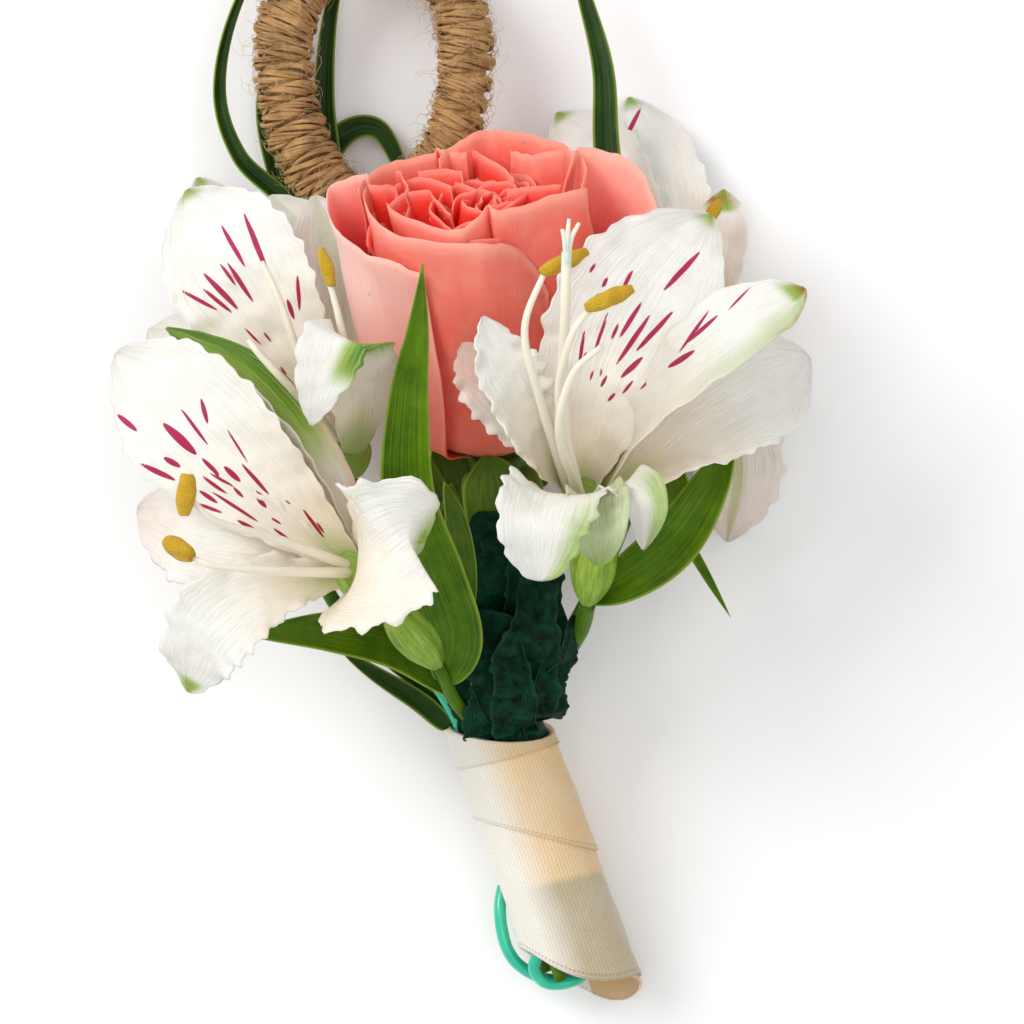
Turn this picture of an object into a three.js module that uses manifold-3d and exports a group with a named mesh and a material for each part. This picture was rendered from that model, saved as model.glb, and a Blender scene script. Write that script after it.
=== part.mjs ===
// A small hand-tied rose posy, lying on its back: one coral rose and four white Peruvian lilies, with their
// stems, leaves and grass, a twine-wound wire ring behind them, dark florist tape round the stems and a
// ribbon handle. Millimetres, +Z up. The posy points along +Y and its face looks up. The origin is the
// small flat spot at the foot of the ribbon handle, where it meets the surface.
import * as THREE from "three";
import { mergeVertices } from "three/addons/utils/BufferGeometryUtils.js";
import Module from "manifold-3d";

const wasm = await Module();
wasm.setup();

// Driving dimensions.
const PETAL = 0.8; // thickness of petals and tepals
const LEAF = 0.8; // thickness of leaves and grass
const HANDLE_FOOT = [1.3, -4.4, 9.2]; // axis of the ribbon handle, near its foot
const HANDLE_TOP = [-15, 42.5, 21]; // and a point near its top
const REST_SPOT = [1.1, -3.8]; // middle of the flat spot, which is put at the origin
const RIBBON_BORE = 8.2;
const TAPE_SIDE = 1.6; // the tape's bundle sits this far to the right of the handle's axis
const TAPE_BORE = 5.5;
const TAPE_WALL = 0.7;
const ROSE_BASE = [-15.5, 91.5, 26];
const ROSE_AXIS = [-0.12, 0.89, 0.438];
const RING_CENTRE = [-37.2, 162, 14]; // where the ring is widest
const RING_HALF_WIDTH = 16.1; // all three on the ring's middle line
const RING_ABOVE = 20.2;
const RING_BELOW = 27.6;
const TWINE_RADIUS = 4.6;
const TWINE_PITCH = 5;
const TWINE_RIDGE = 0.35; // half the height of the twine's ridges
const WIRE_RADIUS = 1;

const material = (color, roughness) => new THREE.MeshStandardMaterial({ color, roughness, metalness: 0 });
const ROSE_PETAL = material(0xf0786b, 0.55);
const WHITE_TEPAL = material(0xf3f1e6, 0.55);
const STEM_GREEN = material(0x5f8f2f, 0.5);
const LEAF_GREEN = material(0x4f9a26, 0.45);
const GRASS_GREEN = material(0x1f5a2c, 0.45);
const TAPE_GREEN = material(0x163f38, 0.75);
const RIBBON_CREAM = material(0xf1ddc3, 0.6);
const TWINE_TAN = material(0xb98d5c, 0.9);
const CORE_WIRE = material(0x6f6a62, 0.5);
const COATED_WIRE = material(0x12a37a, 0.3);

const vector = ([x, y, z]) => new THREE.Vector3(x, y, z);
const mix = (a, b, share) => a + (b - a) * share;

/** The smooth curve through a list of points. */
const curveThrough = (points) => new THREE.CatmullRomCurve3(points.map(vector), false, "catmullrom", 0.5);

/** The direction of a curve at a share of the way along it. */
function directionAt(curve, share) {
  const step = 1e-3;
  const ahead = curve.getPoint(Math.min(share + step, 1));
  return ahead.sub(curve.getPoint(Math.max(share - step, 0))).normalize();
}

/** The point of a circle at a turn from its first axis towards its second. */
const onCircle = (centre, first, second, radius, turn) =>
  centre
    .clone()
    .addScaledVector(first, radius * Math.cos(turn))
    .addScaledVector(second, radius * Math.sin(turn));

/** A closed mesh as a solid that can be joined and cut. */
function solidOf(geometry) {
  const bare = new THREE.BufferGeometry();
  bare.setAttribute("position", geometry.getAttribute("position"));
  bare.setIndex(geometry.index);
  const merged = mergeVertices(bare, 1e-5);
  return new wasm.Manifold(
    new wasm.Mesh({
      numProp: 3,
      vertProperties: new Float32Array(merged.attributes.position.array),
      triVerts: new Uint32Array(merged.index.array),
    }),
  );
}

/** A solid from a list of points and a list of triangles. */
function solidFrom(points, triangles) {
  const geometry = new THREE.BufferGeometry().setFromPoints(points);
  geometry.setIndex(triangles);
  return solidOf(geometry);
}

/**
 * The named mesh of one or more solids joined, as one closed body: scraps that joining leaves loose are
 * dropped.
 */
function meshOf(name, finish, solids) {
  const joined = wasm.Manifold.union(solids.flat(Infinity));
  const [body] = joined.decompose().sort((a, b) => b.volume() - a.volume());
  const { vertProperties, triVerts } = body.getMesh();
  const geometry = new THREE.BufferGeometry();
  geometry.setAttribute("position", new THREE.BufferAttribute(vertProperties, 3));
  geometry.setIndex(new THREE.BufferAttribute(triVerts, 1));
  const mesh = new THREE.Mesh(geometry, finish);
  mesh.name = name;
  return mesh;
}

/**
 * A thin solid round a surface given for u from 0 to 1 and v from -1 to 1. Both faces have the same
 * triangles.
 */
function thinSolid(surface, rows, columns, thickness) {
  const grid = [];
  for (let i = 0; i <= rows; i++) {
    grid.push([]);
    for (let j = 0; j <= columns; j++) grid[i].push(surface(i / rows, -1 + (2 * j) / columns));
  }
  const points = [];
  const place = (i, j, face) => (i * (columns + 1) + j) * 2 + face;
  for (let i = 0; i <= rows; i++) {
    for (let j = 0; j <= columns; j++) {
      const along = grid[Math.min(i + 1, rows)][j].clone().sub(grid[Math.max(i - 1, 0)][j]);
      const across = grid[i][Math.min(j + 1, columns)].clone().sub(grid[i][Math.max(j - 1, 0)]);
      const normal = across.cross(along).normalize().multiplyScalar(thickness / 2);
      points.push(grid[i][j].clone().add(normal), grid[i][j].clone().sub(normal));
    }
  }
  const triangles = [];
  const quad = (a, b, c, d) => triangles.push(a, b, c, a, c, d);
  for (let i = 0; i < rows; i++) {
    for (let j = 0; j < columns; j++) {
      quad(place(i, j, 0), place(i, j + 1, 0), place(i + 1, j + 1, 0), place(i + 1, j, 0));
      const back = [place(i, j, 1), place(i, j + 1, 1), place(i + 1, j + 1, 1), place(i + 1, j, 1)];
      triangles.push(back[0], back[2], back[1], back[0], back[3], back[2]);
    }
  }
  for (let j = 0; j < columns; j++) {
    quad(place(0, j, 1), place(0, j + 1, 1), place(0, j + 1, 0), place(0, j, 0));
    quad(place(rows, j, 1), place(rows, j, 0), place(rows, j + 1, 0), place(rows, j + 1, 1));
  }
  for (let i = 0; i < rows; i++) {
    quad(place(i, 0, 1), place(i, 0, 0), place(i + 1, 0, 0), place(i + 1, 0, 1));
    quad(place(i, columns, 1), place(i + 1, columns, 1), place(i + 1, columns, 0), place(i, columns, 0));
  }
  return solidFrom(points, triangles);
}

/** A value from a short list, read at a share of the way along it. */
function readAlong(list, share) {
  const place = share * (list.length - 1);
  const low = Math.min(Math.floor(place), list.length - 2);
  return mix(list[low], list[low + 1], place - low);
}

/** The facing directions of a blade, read at a share of the way along it. */
const facingAt = (facing, share) =>
  new THREE.Vector3(...[0, 1, 2].map((axis) => readAlong(facing.map((f) => f[axis]), share)));

const BLUNTEST = 0.07; // a blade's ends are at least this share of its width
const OFFBEAT = 2; // radians by which the ruffles of a blade's two edges differ

/**
 * A blade's surface. It follows its rib, and faces the given directions. Its half width is narrow at the
 * claw, fullest past the middle and rounded at the tip. Across, it is an arc of cup radians to each side,
 * and its edges ruffle.
 */
function bladeSurface({
  rib, facing, width, sides = [1, 1], full = 1.5, round = 0.7, claw = 0.2, cup = [0.3, 0.3],
  ruffle = 0, waves = 3,
}) {
  const curve = curveThrough(rib);
  return (u, v) => {
    const along = directionAt(curve, u);
    const across = along.clone().cross(facingAt(facing, u)).normalize();
    const normal = across.clone().cross(along);
    const shape = claw * (1 - u) ** 2 + Math.sin(Math.PI * u ** full) ** round;
    const half = width * Math.max(shape, BLUNTEST) * (v < 0 ? sides[0] : sides[1]);
    const bend = readAlong(cup, u);
    const wave = ruffle * half * v * v * Math.sin(2 * Math.PI * waves * u + (v < 0 ? OFFBEAT : 0));
    return curve
      .getPoint(u)
      .addScaledVector(across, (half * Math.sin(v * bend)) / bend)
      .addScaledVector(normal, (half * (1 - Math.cos(v * bend))) / bend + wave);
  };
}

const blade = (spec, rows = 5, columns = 4) =>
  thinSolid(bladeSurface(spec), rows, columns, spec.thickness ?? PETAL);

/** A closed solid through rings of points, with flat ends. Each ring runs the same way round. */
function loft(rings) {
  const count = rings[0].length;
  const points = rings.flat();
  const triangles = [];
  for (let i = 0; i + 1 < rings.length; i++) {
    for (let j = 0; j < count; j++) {
      const [a, b] = [i * count + j, i * count + ((j + 1) % count)];
      triangles.push(a, b, b + count, a, b + count, a + count);
    }
  }
  for (const [ring, start, turned] of [[rings[0], 0, true], [rings.at(-1), points.length - count, false]]) {
    const middle = ring.reduce((sum, p) => sum.add(p), new THREE.Vector3()).divideScalar(count);
    points.push(middle);
    for (let j = 0; j < count; j++) {
      const [a, b] = [start + j, start + ((j + 1) % count)];
      triangles.push(points.length - 1, ...(turned ? [b, a] : [a, b]));
    }
  }
  return solidFrom(points, triangles);
}

/** A round bar along a smooth curve, with a radius that is read along a list. */
function bar(points, radii, sides = 6, steps = 10) {
  const curve = curveThrough(points);
  let side = new THREE.Vector3(0.31, 0.13, 0.94);
  const rings = [];
  for (let i = 0; i <= steps; i++) {
    const u = i / steps;
    const along = directionAt(curve, u);
    side = side.addScaledVector(along, -side.dot(along)).normalize();
    const other = along.clone().cross(side);
    const radius = readAlong(radii, u);
    const centre = curve.getPoint(u);
    rings.push(
      Array.from({ length: sides }, (_, j) => {
        const turn = (2 * Math.PI * j) / sides;
        return onCircle(centre, side, other, radius, turn);
      }),
    );
  }
  return loft(rings);
}

/** An egg-shaped solid between two points. */
const egg = (from, to, radius, sides = 8) => bar([from, to],
  [0.35, 0.8, 1, 1, 0.8, 0.35].map((r) => r * radius), sides, 5);

// The handle's own directions: along it, to its right and up out of the surface.
const handleAlong = vector(HANDLE_TOP).sub(vector(HANDLE_FOOT)).normalize();
const handleRight = handleAlong.clone().cross(new THREE.Vector3(0, 0, 1)).normalize();
const handleUp = handleRight.clone().cross(handleAlong);

/** A point in the handle: so far along its axis, to the right of it and above it. */
const inHandle = (along, right, up) =>
  vector(HANDLE_FOOT)
    .addScaledVector(handleAlong, along)
    .addScaledVector(handleRight, right)
    .addScaledVector(handleUp, up)
    .toArray();

// The rose's own directions: along it, to its right and away from the viewer's side.
const roseAlong = vector(ROSE_AXIS).normalize();
const roseBack = roseAlong.clone().cross(new THREE.Vector3(1, 0, 0)).normalize();
const roseRight = roseBack.clone().cross(roseAlong);

/**
 * A point in the rose: radius and turn round its axis, from the right by way of the back, and height above
 * its base.
 */
const inRose = (radius, turn, height) =>
  vector(ROSE_BASE)
    .addScaledVector(roseRight, radius * Math.cos(turn))
    .addScaledVector(roseBack, radius * Math.sin(turn))
    .addScaledVector(roseAlong, height);

/**
 * A rose petal's surface. Its outline from base to rim is the smooth curve through the profile's radii and
 * heights. It reaches spread degrees to each side, less at its foot. Its corners drop away from the rim,
 * one side tucks in under the petal before it and the other stands out over the next one, and the rim's
 * middle can rise in a point.
 */
function rosePetalSurface({ turn, spread, profile, tuck = 1.4, drop = 0.16, peak = 0 }) {
  const outline = new THREE.CatmullRomCurve3(
    profile.map(([radius, height]) => new THREE.Vector3(radius, 0, height)), false, "catmullrom", 0.5);
  const start = THREE.MathUtils.degToRad(turn);
  const reach = THREE.MathUtils.degToRad(spread);
  const foot = profile[0][1];
  return (u, v) => {
    const at = outline.getPoint(u);
    const width = reach * (0.45 + 0.55 * Math.sin((Math.PI / 2) * Math.min(1, u * 1.6)));
    const corners = drop * u * Math.abs(v) ** 2.6;
    const point = peak * u * u * Math.max(0, 1 - 3 * Math.abs(v));
    const height = foot + (at.z - foot) * (1 - corners + point);
    const radius = at.x + tuck * v * (0.25 + 0.75 * u);
    return inRose(radius, start + width * v, height);
  };
}

/** A round solid on the rose's axis, from its outline of radii and heights. */
function roseLathe(outline, sides) {
  const rings = outline.map(([radius, height]) =>
    Array.from({ length: sides }, (_, j) => inRose(radius, (2 * Math.PI * j) / sides, height)),
  );
  return loft(rings);
}

// A whorl of the rose: how many petals, the turn of the first, their spread and their outline.
const ROSE_WHORLS = [
  { count: 3, turn: 40, spread: 78, tuck: 0.9, profile: [[1.6, 30], [3.4, 36], [3.6, 42], [2.6, 47.5]] },
  { count: 3, turn: 95, spread: 74, tuck: 1.1, profile: [[4.4, 25], [6.6, 33], [7, 41], [6.4, 48.8]] },
  { count: 4, turn: 20, spread: 62, tuck: 1.2, profile: [[6.6, 16], [9.6, 28], [10.6, 39], [10.4, 49.6]] },
  { count: 5, turn: 62, spread: 50, tuck: 1.2, profile: [[7, 8], [12, 20], [13.8, 35], [14.2, 50]] },
];
// The outer petals, each with its own place and outline.
const ROSE_OUTER = [
  { turn: 318, spread: 52, profile: [[6.5, 3.5], [14.2, 12], [17, 31], [17.9, 50.5]], peak: 0.05 },
  { turn: 92, spread: 54, profile: [[6.5, 3.5], [14.2, 12], [17.2, 31], [17.8, 53]] },
  { turn: 182, spread: 50, profile: [[6.5, 3.5], [14.2, 12], [17, 31], [18.2, 51]] },
  { turn: 254, spread: 56, profile: [[6, 2], [15.6, 9], [19.3, 28], [20, 47.5]], drop: 0.1 },
  { turn: 140, spread: 44, profile: [[6, 2], [15.6, 9], [19.6, 29], [21, 50]] },
  { turn: 210, spread: 38, profile: [[5.6, 1], [16.5, 7], [21.6, 26], [23, 45]], drop: 0.1, tuck: 1.2 },
  { turn: 24, spread: 52, profile: [[5.6, 1], [17, 8], [23.2, 26], [30, 47]], drop: 0.14, tuck: 1.2 },
];

/** The rose: petals in whorls round a closed heart, all growing from one small core. */
function roseBloom() {
  const core = roseLathe([[5, 0.6], [6.8, 4], [7.6, 12], [7.4, 20], [5.4, 29], [2.6, 33]], 12);
  const petals = ROSE_WHORLS.flatMap(({ count, turn, ...rest }) =>
    Array.from({ length: count }, (_, k) => ({ turn: turn + (360 * k) / count, ...rest })),
  );
  return [core, petals.map((petal) => thinSolid(rosePetalSurface(petal), 3, 4, PETAL)),
    ROSE_OUTER.map((petal) => thinSolid(rosePetalSurface(petal), 4, 5, PETAL))];
}

const TOWARDS_VIEWER = [0, 0, 1];
const FLAT_UP = [TOWARDS_VIEWER, TOWARDS_VIEWER];

// The four lilies. Tepals start at the throat. A stamen is its filament's route and its anther's two ends.
const LILIES = {
  c: {
    throat: [[1.5, 79.5, 49], [-2.5, 86, 53]],
    tepals: [
      { rib: [[-2, 84, 51], [1.5, 98, 56], [9.5, 114, 58], [22, 131.5, 52]],
        facing: [[-0.2, -0.4, 1], [-0.1, -0.2, 1]],
        width: 11.5, sides: [1.3, 1], cup: [0.9, 0.25], ruffle: 0.06 },
      { rib: [[1.5, 84, 51], [9.5, 97.5, 60], [22.5, 109.5, 65], [34.5, 117.5, 62]],
        facing: [[-0.7, 0.4, 0.6], [-0.5, 0.5, 0.8]], width: 8.6, full: 1.8, cup: [0.7, 0.4] },
      { rib: [[2.5, 82.5, 49], [15, 93, 51], [25.5, 99.5, 50], [34.5, 104, 45]],
        facing: [[-0.3, 0.4, 0.9], [0.1, 0.1, 1]],
        width: 12.5, sides: [1, 0.75], cup: [0.7, 0.2], ruffle: 0.08, waves: 4 },
      { rib: [[-4, 85, 53], [-10.5, 95, 64], [-15.5, 104, 69], [-17, 112.5, 68]],
        facing: [[0.6, 0.1, 0.8], [0.5, 0, 0.9]], width: 5.5, cup: [0.7, 0.3], full: 1.2 },
      { rib: [[-1.5, 80, 52], [-2, 82, 64], [-2, 84.5, 73], [-1.5, 79, 78], [0.5, 70.5, 74]],
        facing: [[0, 1, 0], [0, 0.9, 0.5], [0, 0.3, 1], [0, -0.5, 1]], width: 12, cup: [0.9, 0.2],
          full: 1.2 },
      { rib: [[-4, 85.5, 50], [-10.5, 94, 57], [-17, 102, 61], [-21, 108.5, 62]],
        facing: [[0.3, -0.2, 1], [0.2, -0.3, 1]], width: 5, cup: [0.4, 0.1], ruffle: 0.1, waves: 5 },
    ],
    pistil: [[-3, 83, 53], [-5, 99, 68], [-4.5, 114.5, 77], [-4, 126, 78]],
    stamens: [
      { filament: [[-3.5, 84, 54], [-8.5, 99, 69], [-11, 110, 75], [-7.5, 120, 74]],
        anther: [[-8.6, 119, 74], [-1, 122.5, 73]] },
      { filament: [[-2, 84, 54], [-5.5, 99, 73], [-3.5, 109, 80], [0.5, 114, 80]],
        anther: [[-1.5, 113, 81.5], [6, 116, 81.5]] },
      { filament: [[-1.5, 83, 54], [-5.5, 93.5, 73], [-3.5, 102.5, 80], [1, 107, 81.5]] },
    ],
  },
  b: {
    throat: [[-34, 66.5, 50.5], [-41.5, 74, 53.5]],
    tepals: [
      { rib: [[-39, 72, 52.5], [-52.5, 84.5, 58], [-66.5, 97, 58], [-78.5, 107.5, 50]],
        facing: [[-0.1, -0.2, 1], [-0.2, 0, 1]], width: 11.5, cup: [0.8, 0.2], ruffle: 0.06 },
      { rib: [[-38.5, 73, 51], [-46.5, 85.5, 52], [-56.5, 96.5, 50], [-64.5, 104.5, 46]],
        facing: [[-0.5, -0.6, 0.6], [-0.4, -0.5, 0.8]], width: 7, cup: [0.5, 0.2] },
      { rib: [[-37.5, 74, 50.5], [-44.5, 88, 51], [-56.5, 102.5, 50], [-70.5, 111, 46]],
        facing: [[0.5, 0.6, 0.6], [0.4, 0.6, 0.7]], width: 4, cup: [0.6, 0.6], full: 1.1 },
      { rib: [[-40, 70.5, 51.5], [-52.5, 68.5, 59], [-62.5, 61.5, 58], [-67, 51, 48]],
        facing: [[0.1, 0.2, 1], [-0.2, 0, 1]], width: 7.6, cup: [0.6, 0.2], ruffle: 0.12, waves: 4 },
      { rib: [[-38, 70.5, 53], [-36.5, 73.5, 64], [-31.5, 75.5, 70.5], [-27.3, 76, 68]],
        facing: [[-0.9, 0.3, 0.3], [-0.5, 0.2, 0.8], [0.3, 0, 1]], width: 13, cup: [0.7, 0.3], full: 1.15 },
      { rib: [[-40, 71.5, 52], [-52.5, 75.5, 55.5], [-64.5, 78, 53], [-75.5, 81.5, 46]],
        facing: [[0, 0, 1], [-0.1, -0.1, 1]], width: 9.5, cup: [0.6, 0.2], ruffle: 0.06 },
    ],
    stamens: [
      { filament: [[-39.5, 72, 54], [-50, 76.5, 70], [-59.5, 79.5, 78], [-63.5, 83, 80]],
        anther: [[-64, 87, 80], [-64.5, 80.5, 80]] },
      { filament: [[-39, 71, 54], [-50, 71.5, 70], [-60, 72.5, 76], [-64, 74, 76]],
        anther: [[-68, 76.5, 75], [-63.5, 74, 77]] },
    ],
  },
  a: {
    throat: [[-39.5, 87, 34], [-42.5, 95, 36]],
    tepals: [
      { rib: [[-42, 92.5, 35], [-52, 110, 39], [-60.5, 123.5, 39], [-68.5, 136, 31]],
        facing: [[0.1, -0.2, 1], [-0.1, 0, 1]], width: 12, cup: [0.8, 0.2], ruffle: 0.06 },
      { rib: [[-41, 93, 35], [-42.5, 108, 26.5], [-44, 122.5, 24.5], [-47.5, 134.5, 27]],
        facing: [[-0.4, -0.1, 1], [-0.2, 0, 1]], width: 6.5, cup: [0.6, 0.3] },
      { rib: [[-40, 90, 37], [-38, 97, 52], [-38, 105.5, 63], [-40.5, 108.5, 67.5], [-43.5, 102.5, 68],
        [-45.5, 95, 65]],
        facing: [[-0.1, 0.9, -0.4], [-0.1, 0.9, -0.4], [0, 1, 0], [0, 0.8, 0.6], [-0.3, 0, 1],
          [-0.3, -0.1, 1]], width: 6.5,
        cup: [0.7, 0.2], full: 1.1, rows: 8 },
      { rib: [[-43, 92, 33], [-56, 102, 31], [-66.5, 108, 29], [-76, 112.5, 25]],
        facing: [[0, 0, 1], [0, 0.1, 1]], width: 8, cup: [0.5, 0.2] },
      { rib: [[-42.5, 92.5, 31.5], [-53, 112, 20], [-62, 127, 9], [-69.5, 141, 0.8]],
        facing: [[0, 0.3, 1], [0, 0.3, 1]], width: 8, cup: [0.4, 0.1], ruffle: 0.05 },
      { rib: [[-41.5, 93, 31.5], [-44.5, 112, 25], [-49.5, 126, 23], [-55, 136, 22]],
        facing: [[0, 0.1, 1], [0, 0.1, 1]], width: 8, cup: [0.4, 0.2] },
    ],
    stamens: [
      { filament: [[-41, 93, 37], [-40, 104.5, 56], [-41, 112, 62], [-42.5, 118, 64]],
        anther: [[-42, 117.5, 64], [-44, 123.5, 63]] },
      { filament: [[-41.5, 93, 37], [-46.5, 102.5, 52], [-51, 115.5, 57], [-54, 122, 57]] },
      { filament: [[-42, 93, 37], [-49, 101, 55], [-54, 106.5, 59], [-56, 109, 59]] },
    ],
  },
  d: {
    throat: [[17, 106, 13], [19, 113, 13.5]],
    tepals: [
      { rib: [[18, 111, 13], [9, 129, 11], [2, 143.5, 8], [-5, 152.5, 4]], facing: [[0, 0, 1], [0, 0.2, 1]],
        width: 8, cup: [0.5, 0.2], ruffle: 0.06 },
      { rib: [[18.5, 111.5, 13], [16, 126, 12], [13, 141, 7], [8, 155.5, 0.8]],
        facing: [[0, 0, 1], [0, 0.3, 1]],
        width: 8, cup: [0.4, 0.2], ruffle: 0.08, waves: 4 },
      { rib: [[19.5, 111.5, 14], [22, 120, 21], [23, 128, 23], [23, 134.5, 20]],
        facing: [[-0.2, 0, 1], [-0.2, 0, 1]],
        width: 5, cup: [0.5, 0.3] },
      { rib: [[19.5, 109, 13], [26, 101, 12], [29, 88.5, 10], [27, 75.5, 8]],
        facing: [[0, 0, 1], [0, 0, 1]],
        width: 9, cup: [0.4, 0.2], ruffle: 0.08 },
      { rib: [[19, 109, 11], [21, 100, 5.5], [20.5, 88, 4], [18, 78, 3.2]],
        facing: [[0, 0.2, 1], [0, 0.2, 1]],
        width: 7.5, cup: [0.2, 0.1] },
      { rib: [[19.5, 110.5, 13], [27, 108.5, 12], [31.5, 103, 10], [34, 96, 7]],
        facing: [[0, 0, 1], [0, 0, 1]],
        width: 6, cup: [0.4, 0.2], ruffle: 0.08 },
    ],
    stamens: [
      { filament: [[19, 111.5, 14], [19.5, 121, 28], [20, 130, 31]],
        anther: [[20, 129.5, 31], [22.5, 134.5, 30.5]] },
    ],
  },
};

/**
 * One lily: six tepals, its stamens with their anthers, and its pistil with three tips, joined at the
 * throat.
 */
function lilyBloom({ throat, tepals, pistil, stamens }) {
  const parts = [egg(...throat, 4.2, 7), ...tepals.map((tepal) => blade(tepal, tepal.rows))];
  for (const { filament, anther } of stamens) {
    parts.push(bar(filament, [0.9, 0.8, 0.7], 4, 6));
    if (anther) parts.push(egg(...anther, 1.6, 6));
  }
  if (pistil) {
    parts.push(bar(pistil, [1, 0.9, 0.9], 4, 6));
    const end = vector(pistil.at(-1));
    const before = end.clone().add(new THREE.Vector3(0, -2.5, 0.2));
    for (const side of [-1.4, 0, 1.8]) {
      const tip = end.clone().add(new THREE.Vector3(side, 2.6 - Math.abs(side) * 0.3, 0));
      parts.push(bar([before.toArray(), tip.toArray()], [0.6, 0.45], 4, 1));
    }
  }
  return parts;
}

// Where each stem stands in the handle's section: right of its axis, above it, and its radius.
const IN_SECTION = {
  rose: [-0.2, 0.3, 2.4],
  c: [4.6, 2, 1.5],
  d: [4.8, -1.8, 1.4],
  b: [-4.2, 5.1, 1.2],
  a: [-6.2, -1.6, 1.3],
  grassLeft: [-4.4, -5, 1.1],
  grassRight: [0.8, -7.15, 0.7],
  ring: [[0.6, -4, WIRE_RADIUS], [2.9, -3.9, WIRE_RADIUS]],
  coated: [-6.3, 2, 1.1],
};
const STEM_FOOT = 6.5; // stems start this far along the handle
const MOUTH = 57; // and are free of it here

/** A stem that runs straight up the handle and then along its own route. */
function stem([right, up, radius], route, radii = [1, 1], sides = 6, steps = 12) {
  const straight = [0, 0.45, 0.9, 1].map((share) => inHandle(mix(STEM_FOOT, MOUTH, share), right, up));
  return bar([...straight, ...route], radii.map((r) => r * radius), sides, steps);
}

/** The rose's stem, with the swelling under the bloom, its sepals and one rounded leaf. */
function roseStem() {
  const under = (height) => inRose(0, 0, height).toArray();
  const cup = roseLathe([[2.2, -7], [4.2, -5], [5.2, -2.6], [4.8, -0.2], [3, 0.1]], 10);
  const sepal = (turn, length, out) => {
    const angle = THREE.MathUtils.degToRad(turn);
    const point = (radius, height) => inRose(radius, angle, height).toArray();
    const outward = inRose(1, angle, 0).sub(inRose(0, 0, 0)).toArray();
    return blade({ rib: [point(4, -2), point(6.5, -3.2), point(6.5 + out, -4 - length * 0.5),
      point(6 + out, -4 - length)],
      facing: [roseAlong.toArray(), outward, outward], width: 3, full: 0.9, cup: [0.3, 0.2],
        thickness: LEAF }, 4, 2);
  };
  const leaf = blade({ rib: [[-19, 62, 25], [-22, 71, 27], [-23, 79, 28], [-23.5, 86, 28]],
    facing: [TOWARDS_VIEWER, TOWARDS_VIEWER],
    width: 3, full: 0.9, claw: 0.3, thickness: LEAF }, 5, 2);
  return [
    stem(IN_SECTION.rose, [[-17.5, 60, 24], [-17, 74, 24], under(-5)], [1, 1]),
    cup, [20, 140, 235, 305].map((turn, k) => sepal(turn, 5 + (k % 3) * 2, 1 + (k % 2))), leaf,
  ];
}

/** A lily's stem: the stalk, the striped seed case under the bloom, and its leaves. */
function lilyStem(section, route, seedCase, leaves) {
  return [
    stem(section, [...route, seedCase[0]]),
    egg(...seedCase, 7),
    leaves.map(({ rows = 7, columns = 2, ...leaf }) =>
      blade({ full: 0.95, round: 0.9, claw: 0.18, cup: [0.5, 0.2], thickness: LEAF, ...leaf }, rows,
        columns)),
  ];
}

const LILY_STEMS = {
  b: [[[-23, 49, 30.5]], [[-25.5, 55, 36.5], [-33.7, 65.9, 49.8], 3.4], [
    { rib: [[-24.5, 52, 33], [-22.5, 60, 40], [-25.8, 71, 49], [-30, 84, 57], [-29.8, 99, 63],
      [-28.2, 110.5, 66], [-27.4, 121, 66]],
      facing: [[-0.1, -0.4, 1], [0.1, -0.3, 1]], width: 4.8, full: 0.62, rows: 9, columns: 2 },
    { rib: [[-23.5, 50, 30.5], [-32, 57.5, 35.5], [-43.5, 60.5, 40], [-59, 60.5, 40]],
      facing: [[0, 0.4, 1], [0, 0.4, 1]], width: 4.2 },
  ]],
  c: [[[-6, 54, 25.5], [-1.5, 60.5, 31.5]], [[-0.3, 65.5, 39.5], [1.6, 78.7, 48.3], 3.6], [
    { rib: [[-0.5, 66, 38], [6.5, 69.5, 41], [14.5, 76, 44], [20.7, 86, 46], [24.5, 96, 49]],
      facing: [[-0.3, 0.2, 1], [-0.4, 0.1, 1]], width: 4.6 },
  ]],
  a: [[[-27.5, 51.5, 20], [-38, 58, 19.5], [-46, 70, 23], [-43.5, 82, 29]],
    [[-43, 79.5, 27.5], [-39.6, 86.3, 33.3], 3], []],
  d: [[[-6, 55, 20], [4, 73, 15], [12, 94, 12.5]], [[13, 95, 12.5], [16.7, 105.1, 13], 2.8], [
    { rib: [[11, 90, 13], [16.5, 78, 17.5], [21, 70, 17], [25.5, 62.5, 13]],
      facing: [TOWARDS_VIEWER, TOWARDS_VIEWER], width: 0.9 },
    { rib: [[12.4, 95, 12.9], [15.5, 85, 20], [13.5, 78, 23], [11.5, 74, 23]],
      facing: [TOWARDS_VIEWER, TOWARDS_VIEWER], width: 2.6 },
    { rib: [[12, 98, 14], [10.8, 112, 17], [11.5, 124, 20], [13, 130.5, 22]],
      facing: [TOWARDS_VIEWER, TOWARDS_VIEWER], width: 2.2 },
  ]],
};

/** Long grass blades from one stalk in the handle. */
function grass(section, route, blades) {
  return [
    stem(section, route, [1, 0.7], 5, 10),
    blades.map((spec) => blade({ claw: 0.5, full: 0.75, round: 0.5, cup: [0.25, 0.25], thickness: LEAF,
      ...spec }, 9, 2)),
  ];
}

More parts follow.
